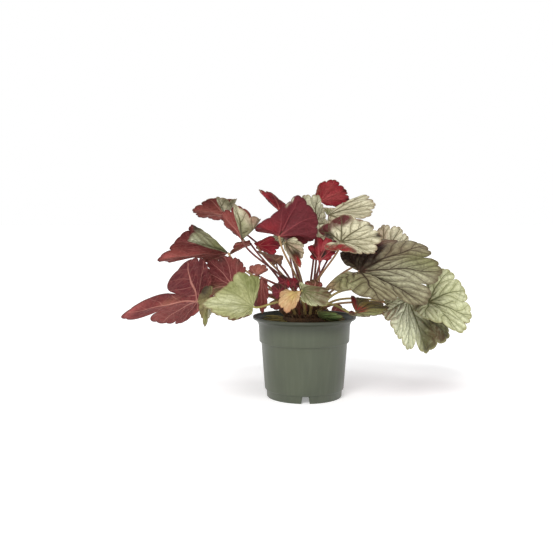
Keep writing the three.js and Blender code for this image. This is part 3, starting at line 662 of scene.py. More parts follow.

# %% [markdown]
# Pigment lies on the blades in soft round patches, and the rows of the table below say where. A few patches
# are painted light or painted shade instead, and their rows say so. Each spot is a tuple: degrees round the
# petiole's top, share of the way to the margin, spread, cover, and the name of the pigment. They are laid on
# one after the other, like washes of paint, and each vertex keeps the result.

# %% Patches of pigment
PIGMENTS = {
    "wine": linear(92, 28, 34),
    "crimson": linear(140, 28, 36),
    "scarlet": linear(172, 34, 48),
    "rose": linear(156, 88, 80),
    "pink": linear(208, 104, 104),
    "clay": linear(176, 124, 98),
    "plum": linear(98, 70, 64),
    "umber": linear(50, 34, 26),
    "olive": linear(88, 84, 50),
    "brown": linear(98, 72, 50),
    "moss": linear(122, 126, 74),
    "grass": linear(134, 164, 98),
    "lime": linear(164, 176, 108),
    "pale": linear(222, 224, 196),
    "straw": linear(200, 178, 104),
}
DARK = 0.5  # a pigment is dark when its red, green and blue add up to less
DARK_COATS = 3
print(sum(sum(color[:3]) < DARK for color in PIGMENTS.values()), "of", len(PIGMENTS), "pigments are dark")

# %% Laying pigment on
def in_one_list(grid):
    """All points of a blade's grid, with its first row as the single point it stands for."""
    return np.concatenate([grid[0, :1], grid[1:].reshape(-1, grid.shape[-1])])


def tinted(spots, angle, r):
    """Colour and cover for each point of one blade face.

    A dark pigment hides a pale blade only when its cover is almost full, so it gets several coats."""
    turn = np.radians(angle)[None, :]
    x = r * np.cos(turn)
    y = r * np.sin(turn)
    color = np.zeros(x.shape + (4,))
    for degrees, share, spread, cover, name in spots:
        pigment = PIGMENTS[name][:3]
        spot_x = share * math.cos(math.radians(degrees))
        spot_y = share * math.sin(math.radians(degrees))
        near = np.exp(-((((x - spot_x) ** 2 + (y - spot_y) ** 2) / spread**2) ** 1.5))[..., None]
        amount = 1 - (1 - cover * near) ** (DARK_COATS if sum(pigment) < DARK else 1)
        alpha = color[..., 3:] * (1 - amount) + amount
        mixed = color[..., :3] * color[..., 3:] * (1 - amount) + np.array(pigment) * amount
        color = np.concatenate([mixed / np.maximum(alpha, 1e-6), alpha], axis=-1)
    return in_one_list(color)


# %% Blade mesh
def blade_mesh(leaf):
    """Vertices, faces, face materials, the two attributes of a blade, and the points on its margin."""
    step, rows = leaf["grid"]
    angle = np.arange(-EDGE_ANGLE, EDGE_ANGLE + 0.5 * step, step)
    share = np.linspace(0, 1, rows + 1) ** 0.9  # rows lie a little closer toward the margin
    upper, lower, flat, r = blade_skins(leaf, angle, share)
    points = np.concatenate([in_one_list(upper), in_one_list(lower)])
    place = np.concatenate([in_one_list(flat)] * 2)
    tint = np.concatenate([tinted(leaf[face + "_spots"], angle, r) for face in ("upper", "lower")])
    return points, *blade_faces(rows, len(angle)), place, tint


# %% [markdown]
# The petiole is a tube along a cubic curve, swollen at its foot and again a little where it meets the blade.
# It goes into one mesh with its blade, with three materials: upper face, lower face and petiole.

# %% Petiole path
PETIOLE_SIDES = 10
PETIOLE_STEPS = 26
FOOT_DEPTH = 3  # how far a petiole reaches down into the crown
TOP_OVERLAP = 0.3  # how far it reaches up into the blade


def petiole_path(leaf):
    """Points along the middle of a petiole, which meets its blade from below and from behind."""
    start, lean = petiole_place(*leaf["root"])
    at = np.array(leaf["at"], float)
    reach = np.linalg.norm(at - start)
    tips = np.array(leaf["veins"], float)
    facing = unit(sum(np.cross(tips[i], tips[i + 1]) for i in range(6)))
    under = unit(0.7 * unit(start - at) - 0.35 * facing)
    low, high = start + lean * reach * leaf["arch"], at + under * reach * leaf["neck"]
    t = np.linspace(0, 1, PETIOLE_STEPS)[:, None]
    u = 1 - t
    path = u**3 * start + 3 * t * u**2 * low + 3 * t**2 * u * high + t**3 * (at - under * TOP_OVERLAP)
    return np.concatenate([[start - lean * FOOT_DEPTH], path])


# %% Petiole mesh
FOOT_SWELL, TOP_SWELL = (0.45, 18), (0.2, 20)  # how much, and how quickly it fades
PETIOLE_TAPER = 0.25


def tube_faces(rings, sides):
    """Faces of a tube that runs through several rings of points, closed at both ends."""
    faces = []
    for i in range(rings - 1):
        for k in range(sides):
            a, b = i * sides + k, i * sides + (k + 1) % sides
            faces.append((a, b, b + sides, a + sides))
    last = (rings - 1) * sides
    return faces + [tuple(reversed(range(sides))), tuple(range(last, last + sides))]


def petiole_mesh(leaf):
    """Vertices, faces and flat coordinates of a petiole."""
    middle = petiole_path(leaf)
    ahead = unit(np.gradient(middle, axis=0))
    turn = np.arange(PETIOLE_SIDES) * 2 * np.pi / PETIOLE_SIDES
    side = np.array([1.0, 0.0, 0.0])
    rings = []
    for i, place in enumerate(middle):
        side = unit(side - ahead[i] * (side @ ahead[i]))
        other = np.cross(ahead[i], side)
        height = max(i - 1, 0) / (PETIOLE_STEPS - 1)
        swell = 1 + FOOT_SWELL[0] * math.exp(-height * FOOT_SWELL[1])
        swell += TOP_SWELL[0] * math.exp(-(1 - height) * TOP_SWELL[1])
        radius = leaf["stem"] * (1 - PETIOLE_TAPER * height) * swell
        rings.append(place + radius * (np.cos(turn)[:, None] * side + np.sin(turn)[:, None] * other))
    height = np.repeat(np.linspace(0, 1, len(rings)), PETIOLE_SIDES)
    flat = np.stack([height, height * 0, height * 0], axis=-1)
    return np.concatenate(rings), tube_faces(len(rings), PETIOLE_SIDES), flat


print("a petiole has", len(tube_faces(PETIOLE_STEPS + 1, PETIOLE_SIDES)), "faces")

# %% Mesh object
def mesh_object(name, points, faces, materials):
    """A smooth mesh object from points in millimetres."""
    mesh = bpy.data.meshes.new(name)
    mesh.from_pydata((np.asarray(points) * MM).tolist(), [], faces)
    for material in materials:
        mesh.materials.append(material)
    mesh.polygons.foreach_set("use_smooth", [True] * len(mesh.polygons))
    piece = bpy.data.objects.new(name, mesh)
    scene.collection.objects.link(piece)
    return piece


# %% Leaf object
def keep_margin_sharp(mesh, margin):
    """Mark the edges along a blade's margin, so that smooth shading doesn't run over it."""
    edges = np.zeros(len(mesh.edges) * 2, int)
    mesh.edges.foreach_get("vertices", edges)
    on_margin = np.isin(edges, list(margin)).reshape(-1, 2).all(axis=1)
    mesh.attributes.new("sharp_edge", "BOOLEAN", "EDGE").data.foreach_set("value", on_margin)


def build_leaf(leaf):
    """One leaf with blade and petiole, which stands for its solid."""
    points, faces, slots, margin, place, tint = blade_mesh(leaf)
    stem_points, stem_faces, stem_place = petiole_mesh(leaf)
    first = len(points)
    faces = faces + [tuple(first + i for i in face) for face in stem_faces]
    slots = slots + [PETIOLE] * len(stem_faces)
    surfaces = [LEAF_SURFACES[leaf["upper"]], LEAF_SURFACES[leaf["lower"]], PETIOLE_SURFACES[leaf["petiole"]]]
    name = leaf["name"].replace("leaf_", "")
    piece = mesh_object(name, np.concatenate([points, stem_points]), faces, surfaces)
    mesh = piece.data
    mesh.polygons.foreach_set("material_index", slots)
    flat = mesh.attributes.new("leaf_place", "FLOAT_VECTOR", "POINT")
    flat.data.foreach_set("vector", np.concatenate([place, stem_place]).ravel())
    patches = mesh.attributes.new("tint", "FLOAT_COLOR", "POINT")
    patches.data.foreach_set("color", np.concatenate([tint, np.zeros((len(stem_points), 4))]).ravel())
    keep_margin_sharp(mesh, margin)
    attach(piece, "root")
    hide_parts(leaf["name"])
    return piece


# %% [markdown]
# ## The forty leaves
#
# Each row of the table is one leaf: its petiole's place, the top of its petiole, the names of its three
# surfaces, and the tips of its seven main veins, measured from the top of the petiole. They run from the
# right rear lobe round the leaf's tip to the left rear lobe, seen from above. The leaves at the front and
# at the sides are all different, as on a plant that has grown toward the light. Some hang, some fold over
# and show their red lower face, and the hidden ones at the back open more evenly.

# %% Leaf rows
VEIN_REACH = (0.68, 0.84, 0.95, 1, 0.95, 0.84, 0.68)
FINE, MEDIUM, COARSE = (1, 30), (2, 24), (3, 12)  # degrees between columns, number of rows
STEM, THIN_STEM = 1.25, 0.9  # radius of a petiole
DROOP_SWING, LENGTH_SWING = 7, 0.07  # how much the veins of an even blade differ


def evenly(size, toward, face, droop=12, phase=0):
    """Vein tips of a blade that opens evenly and hangs a little at its rim."""
    tip = unit(np.array(toward, float))
    up = np.array(face, float)
    up = unit(up - tip * (up @ tip))
    left = np.cross(up, tip)
    tips = []
    for i, degrees in enumerate(VEIN_ANGLES):
        angle = math.radians(degrees)
        dip = math.radians(droop + DROOP_SWING * math.sin(2 * i + phase))
        length = size * VEIN_REACH[i] * (1 + LENGTH_SWING * math.cos(3 * i + phase))
        flat = tip * math.cos(angle) + left * math.sin(angle)
        tips.append((flat * math.cos(dip) - up * math.sin(dip)) * length)
    return tips


def leaf(name, root, at, upper, lower, petiole, veins, lobe=LOBE_DEPTH, cuts=None, tooth=TOOTH_DEPTH,
         folded=False, bow=BOW, neck=0.28, arch=0.42, small=False, grid=None, puff=1.1, ruffle=0.8,
         upper_spots=(), lower_spots=()):
    """A row of the table. cuts gives each of the six gaps its own depth, in place of one lobe depth.

    arch and neck say how far a petiole keeps the lean of its foot and the direction of its top."""
    return {
        "name": name, "root": root, "at": at, "upper": upper, "lower": lower, "petiole": petiole,
        "veins": veins, "folded": folded, "cuts": cuts or [lobe] * 6, "tooth": tooth, "bow": bow,
        "neck": neck, "arch": arch, "stem": THIN_STEM if small else STEM,
        "grid": grid or (COARSE if small else MEDIUM), "puff": puff, "ruffle": ruffle,
        "upper_spots": upper_spots, "lower_spots": lower_spots,
    }


# %% Leaves on the left
LEAVES = [
    leaf("leaf_far_left", (OUTER, 10), (-105, -35, 101), "grey", "ruby", "tan",
         [(0, 10, -11), (-20, 33, -26), (-41, 38, -27), (-76, 15, -17), (-9, -14, 38), (8, -15, 40),
          (14, -5, 20)], tooth=0.03, bow=0.1, cuts=[0.13, 0.13, 0.38, 0.54, 0.1, 0.13], grid=FINE,
         lower_spots=[(90, 0.65, 0.6, 0.85, "wine"), (42, 0.76, 0.35, 0.7, "wine"),
                      (70, 0.4, 0.3, 0.5, "wine"), (-80, 0.6, 0.5, 0.4, "wine"),
                      (-62, 0.6, 0.42, 0.2, "rose"), (4, 0.4, 0.12, 0.25, "clay"),
                      (0, 0.98, 0.24, 0.4, "pink"), (-8, 0.75, 0.18, 0.4, "wine")]),
    leaf("leaf_left_fold", (OUTER, 9), (-76, -20, 147), "sage", "ruby", "tan",
         [(-22, 15, -10), (-40, 25, -5), (-61, 25, -10), (-71, 15, -7), (-51, 5, 13), (-34, -10, 28),
          (-36, -25, 13)], lobe=0.08, tooth=0.02, folded=True, grid=FINE,
         upper_spots=[(110, 0.98, 0.14, 0.8, "umber"), (120, 0.3, 0.2, 0.35, "moss"),
                      (144, 0.9, 0.2, 0.4, "pale")],
         lower_spots=[(6, 0.95, 0.14, 0.3, "pink"), (-24, 0.95, 0.16, 0.3, "pink"),
                      (-110, 0.65, 0.5, 0.6, "rose"), (60, 0.7, 0.4, 0.4, "wine"),
                      (-10, 0.7, 0.3, 0.3, "rose")]),
    leaf("leaf_mid_left", (OUTER, 11), (-71, -36, 117), "grey", "rose", "tan",
         [(-14, -4, -13), (-26, 2, -6), (-27, 5, 10), (-23, 2, 23), (-7, -5, 28), (7, -8, 25), (13, -8, 13)],
         lower_spots=[(-110, 0.6, 0.35, 0.35, "olive"), (0, 0.6, 0.7, 0.35, "wine"),
                      (30, 0.95, 0.25, 0.25, "umber"), (96, 0.9, 0.2, 0.2, "umber")]),
    leaf("leaf_green_low", (OUTER, 13), (-50, -66, 99), "fresh", "burgundy", "green",
         [(4, 12, 27), (-14, 13, 31), (-28, 6, 17), (-46, -10, 4), (-32, -19, -5), (-17, -20, -10),
          (-4, -12, -7)], lobe=0.09, tooth=0.03, folded=True, grid=FINE, puff=1.6,
         upper_spots=[(-125, 0.8, 0.42, 0.65, "moss"), (72, 1.04, 0.13, 0.9, "wine"),
                      (92, 1.04, 0.14, 0.95, "wine"), (112, 1.04, 0.15, 0.95, "wine"),
                      (134, 1.04, 0.17, 0.95, "wine"), (-60, 0.8, 0.3, 0.3, "moss"),
                      (0, 0.6, 0.4, 0.3, "pale"), (60, 0.5, 0.25, 0.25, "pale")]),
    leaf("leaf_red_strip", (MIDDLE, 8), (-43, -46, 125), "olive", "rose", "wine",
         [(6, 6, -5), (7, 6, -17), (5, 4, -29), (1, -2, -34), (-4, -8, -26), (-3, -9, -15), (-2, -7, -5)],
         folded=True),
    leaf("leaf_olive_hanging", (OUTER, 12), (-91, -59, 108), "olive", "olive", "wine",
         [(2, 4, 9), (-6, 5, 8), (-11, 2, -3), (-9, -4, -15), (-4, -8, -27), (2, -8, -15), (5, -4, -7)],
         upper_spots=[(96, 0.95, 0.4, 0.8, "pale"), (48, 0.8, 0.3, 0.4, "lime"),
                      (-96, 0.8, 0.5, 0.6, "umber")]),
    # Its rose patch at -40 degrees on the lower face is painted light, for a face turned from the lamps.
    leaf("leaf_top_left", (MIDDLE, 4), (-82, 26, 184), "silver", "ruby", "wine",
         [(-1, 14, -6), (-13, 12, -4), (-28, 4, -1), (-33, -6, 6), (-16, -12, 17), (13, -16, 17),
          (-5, -34, 18)], neck=0.12, folded=True, upper_spots=[(120, 0.9, 0.2, 0.4, "olive")],
         lower_spots=[(-40, 0.6, 0.7, 0.6, "rose"), (-100, 0.8, 0.3, 0.4, "pink"),
                      (40, 0.9, 0.25, 0.2, "wine")]),
    leaf("leaf_second_left", (INNER, 4), (-63, -10, 160), "silver", "ruby", "wine",
         [(2, 8, 0), (-9, 12, 6), (-18, 10, 15), (-20, 8, 27), (-3, 4, 33), (19, -4, 20), (-5, -20, 34)],
         folded=True,
         upper_spots=[(110, 0.95, 0.3, 0.6, "rose"), (130, 0.4, 0.3, 0.3, "moss"),
                      (60, 0.7, 0.5, 0.35, "rose")],
         lower_spots=[(-100, 0.7, 0.4, 0.5, "wine"), (0, 0.9, 0.25, 0.3, "rose"),
                      (60, 0.6, 0.4, 0.3, "rose")]),
    leaf("leaf_brown_sliver", (MIDDLE, 6), (-55, 3, 156), "fresh", "ruby", "wine",
         [(-1, 6, -3), (-7, 8, -5), (-15, 4, -9), (-21, -4, -11), (-15, -4, 0), (-7, -3, 2), (-1, -3, 3)],
         bow=0.05, folded=True, lower_spots=[(0, 0.8, 0.3, 0.5, "brown"), (60, 0.9, 0.25, 0.5, "clay")]),
]
print(len(LEAVES), "leaves")

# %% Leaves in the middle
LEAVES += [
    leaf("leaf_big_red", (INNER, 5), (-26, -42, 164), "grey", "burgundy", "tan",
         [(-22, 27, 5), (-20, 14, 11), (3, 6, 27), (18, -8, 38), (35, -6, 20), (35, 0, -1), (20, 14, -8)],
         lobe=0.06, tooth=0.02, grid=FINE,
         lower_spots=[(-150, 0.62, 0.26, 0.4, "rose"), (-34, 1.0, 0.09, 0.8, "pale"),
                      (-24, 0.99, 0.08, 0.8, "pale"), (-14, 0.96, 0.08, 0.8, "pale"),
                      (-70, 0.5, 0.5, 0.3, "wine"), (60, 0.6, 0.6, 0.4, "wine"), (130, 0.8, 0.5, 0.5, "wine"),
                      (-100, 0.6, 0.4, 0.3, "crimson"), (0, 0.0, 0.16, 0.3, "rose")]),
    leaf("leaf_top_sliver", (INNER, 2), (-24, 20, 187), "grey", "crimson", "wine",
         [(0, 10, 2), (-8, 6, 7), (-15, 0, 14), (-22, -6, 23), (-10, -12, 20), (4, -12, 9), (6, -6, 4)],
         folded=True,
         lower_spots=[(0, 1.0, 0.12, 0.7, "pale"), (60, 0.6, 0.4, 0.5, "wine"),
                      (-60, 0.5, 0.5, 0.6, "wine")]),
    leaf("leaf_small_red", (INNER, 3), (-48, 6, 153), "grey", "crimson", "tan",
         [(-3, -6, 3), (4, -10, 6), (15, -8, 10), (23, -2, 1), (17, 6, -9), (7, 8, -6), (-1, 6, -3)],
         lower_spots=[(0, 0.9, 0.3, 0.3, "wine"), (-60, 0.5, 0.3, 0.2, "pink")]),
    leaf("leaf_funnel", (HEART, 0), (-20, -36, 158), "silver", "crimson", "tan",
         [(-1, 2, 2), (-1, -6, -6), (4, -14, -13), (14, -14, -23), (17, -20, -9), (17, -14, -2), (9, -8, 5)],
         bow=0,
         upper_spots=[(0, 0.3, 0.6, 0.5, "rose"), (-40, 0.5, 0.35, 0.25, "plum"),
                      (60, 0.7, 0.35, 0.3, "rose"), (20, 0.7, 0.25, 0.85, "umber"),
                      (0, 0.98, 0.32, 0.95, "scarlet")]),
    leaf("leaf_small_green", (OUTER, 16), (-4, -46, 112), "pale", "brown", "green",
         [(0, -6, -9), (9, -12, -13), (22, -18, -12), (27, -14, -3), (23, -4, 3), (9, 8, 4), (-2, 8, 7)],
         upper_spots=[(150, 0.5, 0.4, 0.3, "lime"), (30, 0.8, 0.4, 0.4, "brown"),
                      (0, 0.95, 0.3, 0.5, "brown"), (-50, 0.9, 0.25, 0.4, "brown"),
                      (20, 1.02, 0.14, 0.6, "umber"), (-120, 0.6, 0.3, 0.3, "moss"),
                      (80, 0.6, 0.3, 0.3, "moss"), (0, 0.4, 0.8, 0.4, "brown")]),
    leaf("leaf_tan", (OUTER, 15), (-10, -50, 111), "tan", "tan", "green",
         [(-10, 4, 2), (-15, 2, -1), (-16, -6, -11), (-9, -12, -18), (-1, -12, -13), (3, -6, -6), (4, 0, 1)],
         upper_spots=[(0, 0.0, 0.45, 0.9, "straw"), (0, 0.0, 0.2, 0.5, "lime"), (0, 1.0, 0.3, 0.5, "clay"),
                      (-96, 1.0, 0.3, 0.4, "clay")]),
    leaf("leaf_pink_small", (MIDDLE, 5), (-49, -4, 125), "rose", "rose", "wine",
         [(-4, 1, -3), (3, 0, -1), (12, -1, 4), (9, 1, 9), (2, 2, 10), (-6, 3, 8), (-8, 2, 2)], small=True,
         upper_spots=[(0, 0.5, 0.9, 0.6, "clay"), (0, 0.5, 0.6, 0.3, "pink"), (60, 0.9, 0.3, 0.3, "rose")],
         lower_spots=[(0, 0.5, 0.9, 0.6, "clay"), (0, 0.5, 0.6, 0.3, "pink")]),
    leaf("leaf_brown_small", (MIDDLE, 7), (-29, -24, 140), "brown", "brown", "wine",
         [(5, -2, -5), (7, 2, 4), (-1, 10, 5), (-9, 6, 6), (-18, -2, 9), (-8, -12, 1), (-2, -10, -4)],
         small=True, upper_spots=[(0, 0.5, 0.5, 0.6, "plum"), (96, 0.9, 0.3, 0.6, "wine")]),
    # The pink patches at 0 and 110 degrees on its lower face are painted highlights on its folds.
    leaf("leaf_crumpled", (MIDDLE, 1), (14, -10, 139), "crimson", "crimson", "rosy",
         [(-8, -4, 3), (-10, -8, 13), (-2, -9, 22), (10, -3, 23), (18, 4, 15), (16, 11, 4), (5, 9, -1)],
         small=True, folded=True, grid=FINE, puff=5, ruffle=6,
         lower_spots=[(0, 0.6, 0.25, 0.7, "pink"), (60, 0.9, 0.22, 0.8, "wine"),
                      (-60, 0.9, 0.25, 0.8, "wine"), (110, 0.6, 0.2, 0.7, "pink"),
                      (-110, 0.5, 0.25, 0.8, "umber"), (30, 0.3, 0.2, 0.8, "umber")]),
]
print(len(LEAVES), "leaves so far")

# %% Leaves at the top
LEAVES += [
    # The two pink patches on its lower face are painted light, for a face turned from the lamps.
    leaf("leaf_top_red", (MIDDLE, 2), (17, 26, 199), "silver", "crimson", "wine",
         [(-5, -7, 8), (-1, -15, 18), (14, -20, 21), (26, -11, 11), (30, -1, 2), (22, 9, -6), (8, 7, -4)],
         folded=True,
         lower_spots=[(20, 0.5, 0.5, 0.6, "pink"), (-60, 0.6, 0.35, 0.45, "pink"),
                      (96, 0.98, 0.18, 0.5, "wine"), (48, 1.0, 0.14, 0.5, "wine"),
                      (0, 1.0, 0.14, 0.5, "wine"), (-120, 0.8, 0.3, 0.6, "clay")]),
    leaf("leaf_pale_right", (INNER, 0), (25, 4, 184), "silver", "burgundy", "wine",
         [(-1, -13, -12), (16, -25, -8), (39, -19, 0), (45, -9, 11), (37, 7, 21), (9, 12, 8), (-5, 7, 8)],
         grid=FINE, puff=1.5,
         upper_spots=[(-130, 0.6, 0.2, 0.35, "rose"), (150, 0.5, 0.3, 0.4, "moss"),
                      (20, 1.0, 0.12, 0.4, "brown")]),
    # The broad pale patch on its upper face is painted light, where the leaf lies in shade.
    leaf("leaf_pale_left", (INNER, 1), (12, 12, 178), "silver", "burgundy", "wine",
         [(5, -2, -32), (12, -2, -6), (8, -8, 12), (2, -12, 26), (-13, -4, 26), (-21, 4, 12), (-12, 6, -6)],
         puff=1.5,
         upper_spots=[(0, 0.5, 0.8, 0.5, "pale"), (60, 0.9, 0.2, 0.25, "brown"),
                      (144, 0.6, 0.3, 0.3, "plum")]),
    leaf("leaf_silver_top", (INNER, 6), (34, -38, 158), "silver", "crimson", "tan",
         [(-15, -6, -6), (9, -28, -9), (27, -30, -9), (36, -20, 6), (25, -4, 19), (2, 12, 26), (-21, 15, 12)],
         grid=FINE, puff=2.2,
         upper_spots=[(92, 0.8, 0.22, 0.9, "wine"), (112, 0.84, 0.22, 0.9, "wine"),
                      (134, 0.85, 0.26, 0.92, "wine"), (158, 0.85, 0.24, 0.92, "wine"),
                      (-96, 0.84, 0.14, 0.9, "wine"), (-110, 0.76, 0.24, 0.95, "crimson"),
                      (-130, 0.82, 0.26, 0.95, "crimson"), (-148, 0.95, 0.2, 0.9, "crimson"),
                      (154, 0.5, 0.17, 0.9, "umber"), (4, 1.0, 0.13, 0.85, "umber"),
                      (36, 1.02, 0.12, 0.7, "umber"), (64, 1.0, 0.1, 0.5, "wine")]),
]
print(len(LEAVES), "leaves so far")

# %% Leaves on the right
LEAVES += [
    # Its umber patches at 90 to 140 degrees are partly pigment, partly painted shadow of leaf_silver_top.
    leaf("leaf_big_silver", (MIDDLE, 12), (50, -50, 131), "grey", "burgundy", "tan",
         [(-30, -12, -15), (13, -36, -23), (54, -42, -26), (71, -28, 2), (61, -6, 24), (25, 24, 30),
          (-14, 22, 18)], lobe=0.18, grid=FINE, puff=2.7, ruffle=1.0,
         upper_spots=[(90, 0.5, 0.2, 0.85, "umber"), (114, 0.55, 0.25, 0.92, "umber"),
                      (140, 0.7, 0.34, 0.92, "umber"), (92, 0.25, 0.2, 0.7, "umber"),
                      (84, 0.85, 0.2, 0.3, "wine"), (40, 0.7, 0.45, 0.1, "plum"),
                      (16, 0.84, 0.3, 0.25, "moss"), (-20, 0.55, 0.4, 0.25, "pale"),
                      (-140, 0.7, 0.4, 0.2, "moss"), (-146, 0.96, 0.22, 0.4, "clay"),
                      (0, 0.02, 0.07, 0.7, "wine")]),
    # Its pale patches are painted light, where it hangs in the shadow of leaf_big_silver.
    # The olive patches at 60 and 104 degrees are painted shade under leaf_far_right.
    leaf("leaf_low_right", (OUTER, 19), (97, -45, 102), "pale", "burgundy", "tan",
         [(-22, -6, 3), (-26, -15, -10), (-15, -23, -27), (-3, -17, -43), (18, -3, -49), (43, 13, -36),
          (41, 17, -17)], arch=0.2, cuts=[0.13, 0.1, 0.08, 0.3, 0.06, 0.12], folded=True, grid=FINE, puff=2.3,
         ruffle=1.1,
         upper_spots=[(-50, 0.55, 0.6, 0.85, "pale"), (60, 0.8, 0.36, 0.85, "olive"),
                      (104, 0.75, 0.36, 0.85, "olive"), (84, 1.0, 0.2, 0.35, "umber"),
                      (52, 1.04, 0.14, 0.35, "umber"), (76, 0.8, 0.2, 0.3, "brown"),
                      (-4, 0.9, 0.25, 0.4, "pale"), (0, 0.5, 0.4, 0.7, "pale")]),
    leaf("leaf_far_right", (OUTER, 0), (118, -38, 100), "pale", "burgundy", "green",
         [(-16, -12, -4), (-7, -22, -12), (26, -26, -25), (38, -16, -11), (35, 0, 13), (22, 12, 31),
          (5, 20, 26)], arch=0.3, grid=FINE, puff=2.3, ruffle=1.1,
         upper_spots=[(120, 0.9, 0.25, 0.6, "olive"), (0, 0.03, 0.12, 0.5, "straw"),
                      (-144, 0.7, 0.3, 0.3, "brown")]),
    leaf("leaf_olive_right", (OUTER, 18), (46, -62, 93), "sage", "crimson", "green",
         [(-6, 4, -2), (5, -16, -2), (20, -22, 1), (28, -14, 6), (23, 4, 9), (7, 14, 12), (-3, 14, 14)],
         upper_spots=[(0, 0.6, 0.8, 0.5, "straw"), (0, 0.6, 0.8, 0.3, "moss"), (-60, 0.9, 0.25, 0.4, "lime"),
                      (70, 0.8, 0.5, 0.6, "straw"), (0, 1.02, 0.2, 0.3, "brown"),
                      (0, 0.0, 0.3, 0.95, "scarlet"), (150, 0.6, 0.35, 0.85, "crimson"),
                      (-150, 0.6, 0.3, 0.8, "wine"), (96, 0.9, 0.3, 0.3, "moss")]),
    leaf("leaf_back_lobes", (MIDDLE, 0), (84, 20, 145), "silver", "burgundy", "tan",
         [(10, 10, -9), (26, 6, 2), (23, -6, 17), (13, -12, 27), (-3, -8, 29), (-15, 0, 16), (-12, 10, 2)],
         puff=2.0, upper_spots=[(60, 0.6, 0.4, 0.3, "rose"), (100, 0.9, 0.25, 0.3, "rose")]),
]
print(len(LEAVES), "leaves so far")

# %% Leaves on the far side
LEAVES += [
    leaf("leaf_rear_left_low", (OUTER, 7), (-67, 58, 101), "silver", "burgundy", "tan",
         evenly(42, (-0.75, 0.6, -0.3), (-0.2, 0.5, 1), 20, 1),
         upper_spots=[(-40, 0.9, 0.3, 0.45, "wine"), (60, 0.8, 0.3, 0.3, "moss")]),
    leaf("leaf_rear_left", (OUTER, 8), (-92, 44, 121), "silver", "burgundy", "tan",
         evenly(40, (-0.9, 0.4, -0.1), (-0.3, 0.3, 1), 24, 2.5),
         upper_spots=[(0, 0.9, 0.35, 0.4, "plum"), (90, 0.7, 0.3, 0.3, "rose")]),
    leaf("leaf_rear_top_left", (OUTER, 6), (-18, 54, 165), "grey", "burgundy", "wine",
         evenly(36, (-0.3, 0.9, 0.1), (-0.3, 0.4, 1), 26, 4)),
    leaf("leaf_rear_top_right", (OUTER, 4), (38, 52, 160), "silver", "burgundy", "wine",
         evenly(40, (0.4, 0.85, 0.05), (0.3, 0.4, 1), 22, 5),
         upper_spots=[(0, 0.8, 0.35, 0.35, "plum"), (-90, 0.9, 0.25, 0.4, "rose")]),
    leaf("leaf_rear_right", (OUTER, 2), (80, 54, 126), "grey", "burgundy", "tan",
         evenly(44, (0.8, 0.55, -0.1), (0.2, 0.5, 1), 18, 0.5)),
    leaf("leaf_rear_right_low", (OUTER, 1), (138, 46, 98), "silver", "burgundy", "green",
         evenly(53, (0.85, 0.42, -0.3), (0.3, 0.2, 1), 15, 3),
         upper_spots=[(30, 0.9, 0.3, 0.4, "plum"), (-60, 0.8, 0.3, 0.3, "moss")]),
    leaf("leaf_rear_low", (OUTER, 5), (-14, 64, 92), "fresh", "rose", "green",
         evenly(27, (-0.1, 0.9, -0.35), (0.1, 0.45, 0.9), 20, 2),
         upper_spots=[(0, 0.95, 0.3, 0.5, "straw"), (96, 0.9, 0.25, 0.5, "brown")]),
    leaf("leaf_rear_low_right", (OUTER, 3), (32, 66, 74), "olive", "rose", "green",
         evenly(24, (0.2, 0.3, -0.95), (0.1, 0.9, 0.3), 8, 4.5),
         upper_spots=[(0, 0.9, 0.4, 0.5, "brown"), (-96, 0.7, 0.3, 0.4, "lime")]),
]
print(len(LEAVES), "leaves so far")

# %% Young leaves low in the crown
LEAVES += [
    leaf("leaf_young_left", (MIDDLE, 9), (-20, -40, 119), "brown", "burgundy", "wine",
         evenly(9, (-0.2, -0.1, 1), (0.6, 0.8, 0.2)), small=True,
         lower_spots=[(0, 0.8, 0.4, 0.6, "umber"), (96, 0.6, 0.3, 0.5, "scarlet")]),
    leaf("leaf_young_middle", (MIDDLE, 10), (-11, -33, 117), "brown", "burgundy", "rosy",
         evenly(7.5, (0.1, -0.1, 1), (0.5, 0.8, 0.2)), small=True,
         lower_spots=[(0, 0.9, 0.4, 0.3, "scarlet"), (96, 0.7, 0.4, 0.5, "umber")]),
    leaf("leaf_young_low", (OUTER, 14), (-25, -40, 110), "olive", "burgundy", "wine",
         evenly(10, (-0.2, 0, 1), (0.5, 0.8, 0.2)), small=True, lower_spots=[(0, 0.7, 0.5, 0.6, "umber")]),
    leaf("leaf_young_right", (MIDDLE, 11), (8, -32, 112), "olive", "ruby", "rosy",
         evenly(11, (0, -0.1, 1), (0.1, 0.9, 0.2)), small=True,
         lower_spots=[(0, 0.9, 0.5, 0.7, "brown"), (-96, 0.8, 0.3, 0.5, "clay")]),
    leaf("leaf_in_pot", (OUTER, 17), (12, -30, 88), "olive", "olive", "green",
         [(2, 6, -4), (10, 4, -8), (19, 0, -7), (24, -6, -2), (16, -6, 2), (6, -2, 3), (0, 2, 4)], small=True,
         upper_spots=[(0, 0.6, 0.9, 0.9, "grass"), (60, 0.9, 0.3, 0.5, "moss")]),
]
print(len(LEAVES), "leaves in the table")

# %% Grow the leaves
leaf_triangles = 0
for row in LEAVES:
    grown = build_leaf(row)
    grown.data.calc_loop_triangles()
    leaf_triangles += len(grown.data.loop_triangles)
print(len(LEAVES), "leaves with", leaf_triangles, "triangles")

# %% [markdown]
# ## The pot
#
# A grower pot is blown or moulded from thin recycled plastic. Its rim is turned down to stiffen it, a step
# under the upper band lets pots stack, and the foot ring has notches for water to run out. All of this is
# round, so the section is drawn once and turned. A turned section has no notches, so each column of the
# mesh may end higher at the foot. Two columns at the same angle, one low and one high, make the side wall
# of a notch, and no boolean cut is needed. The drain holes do need one, in the flat floor.

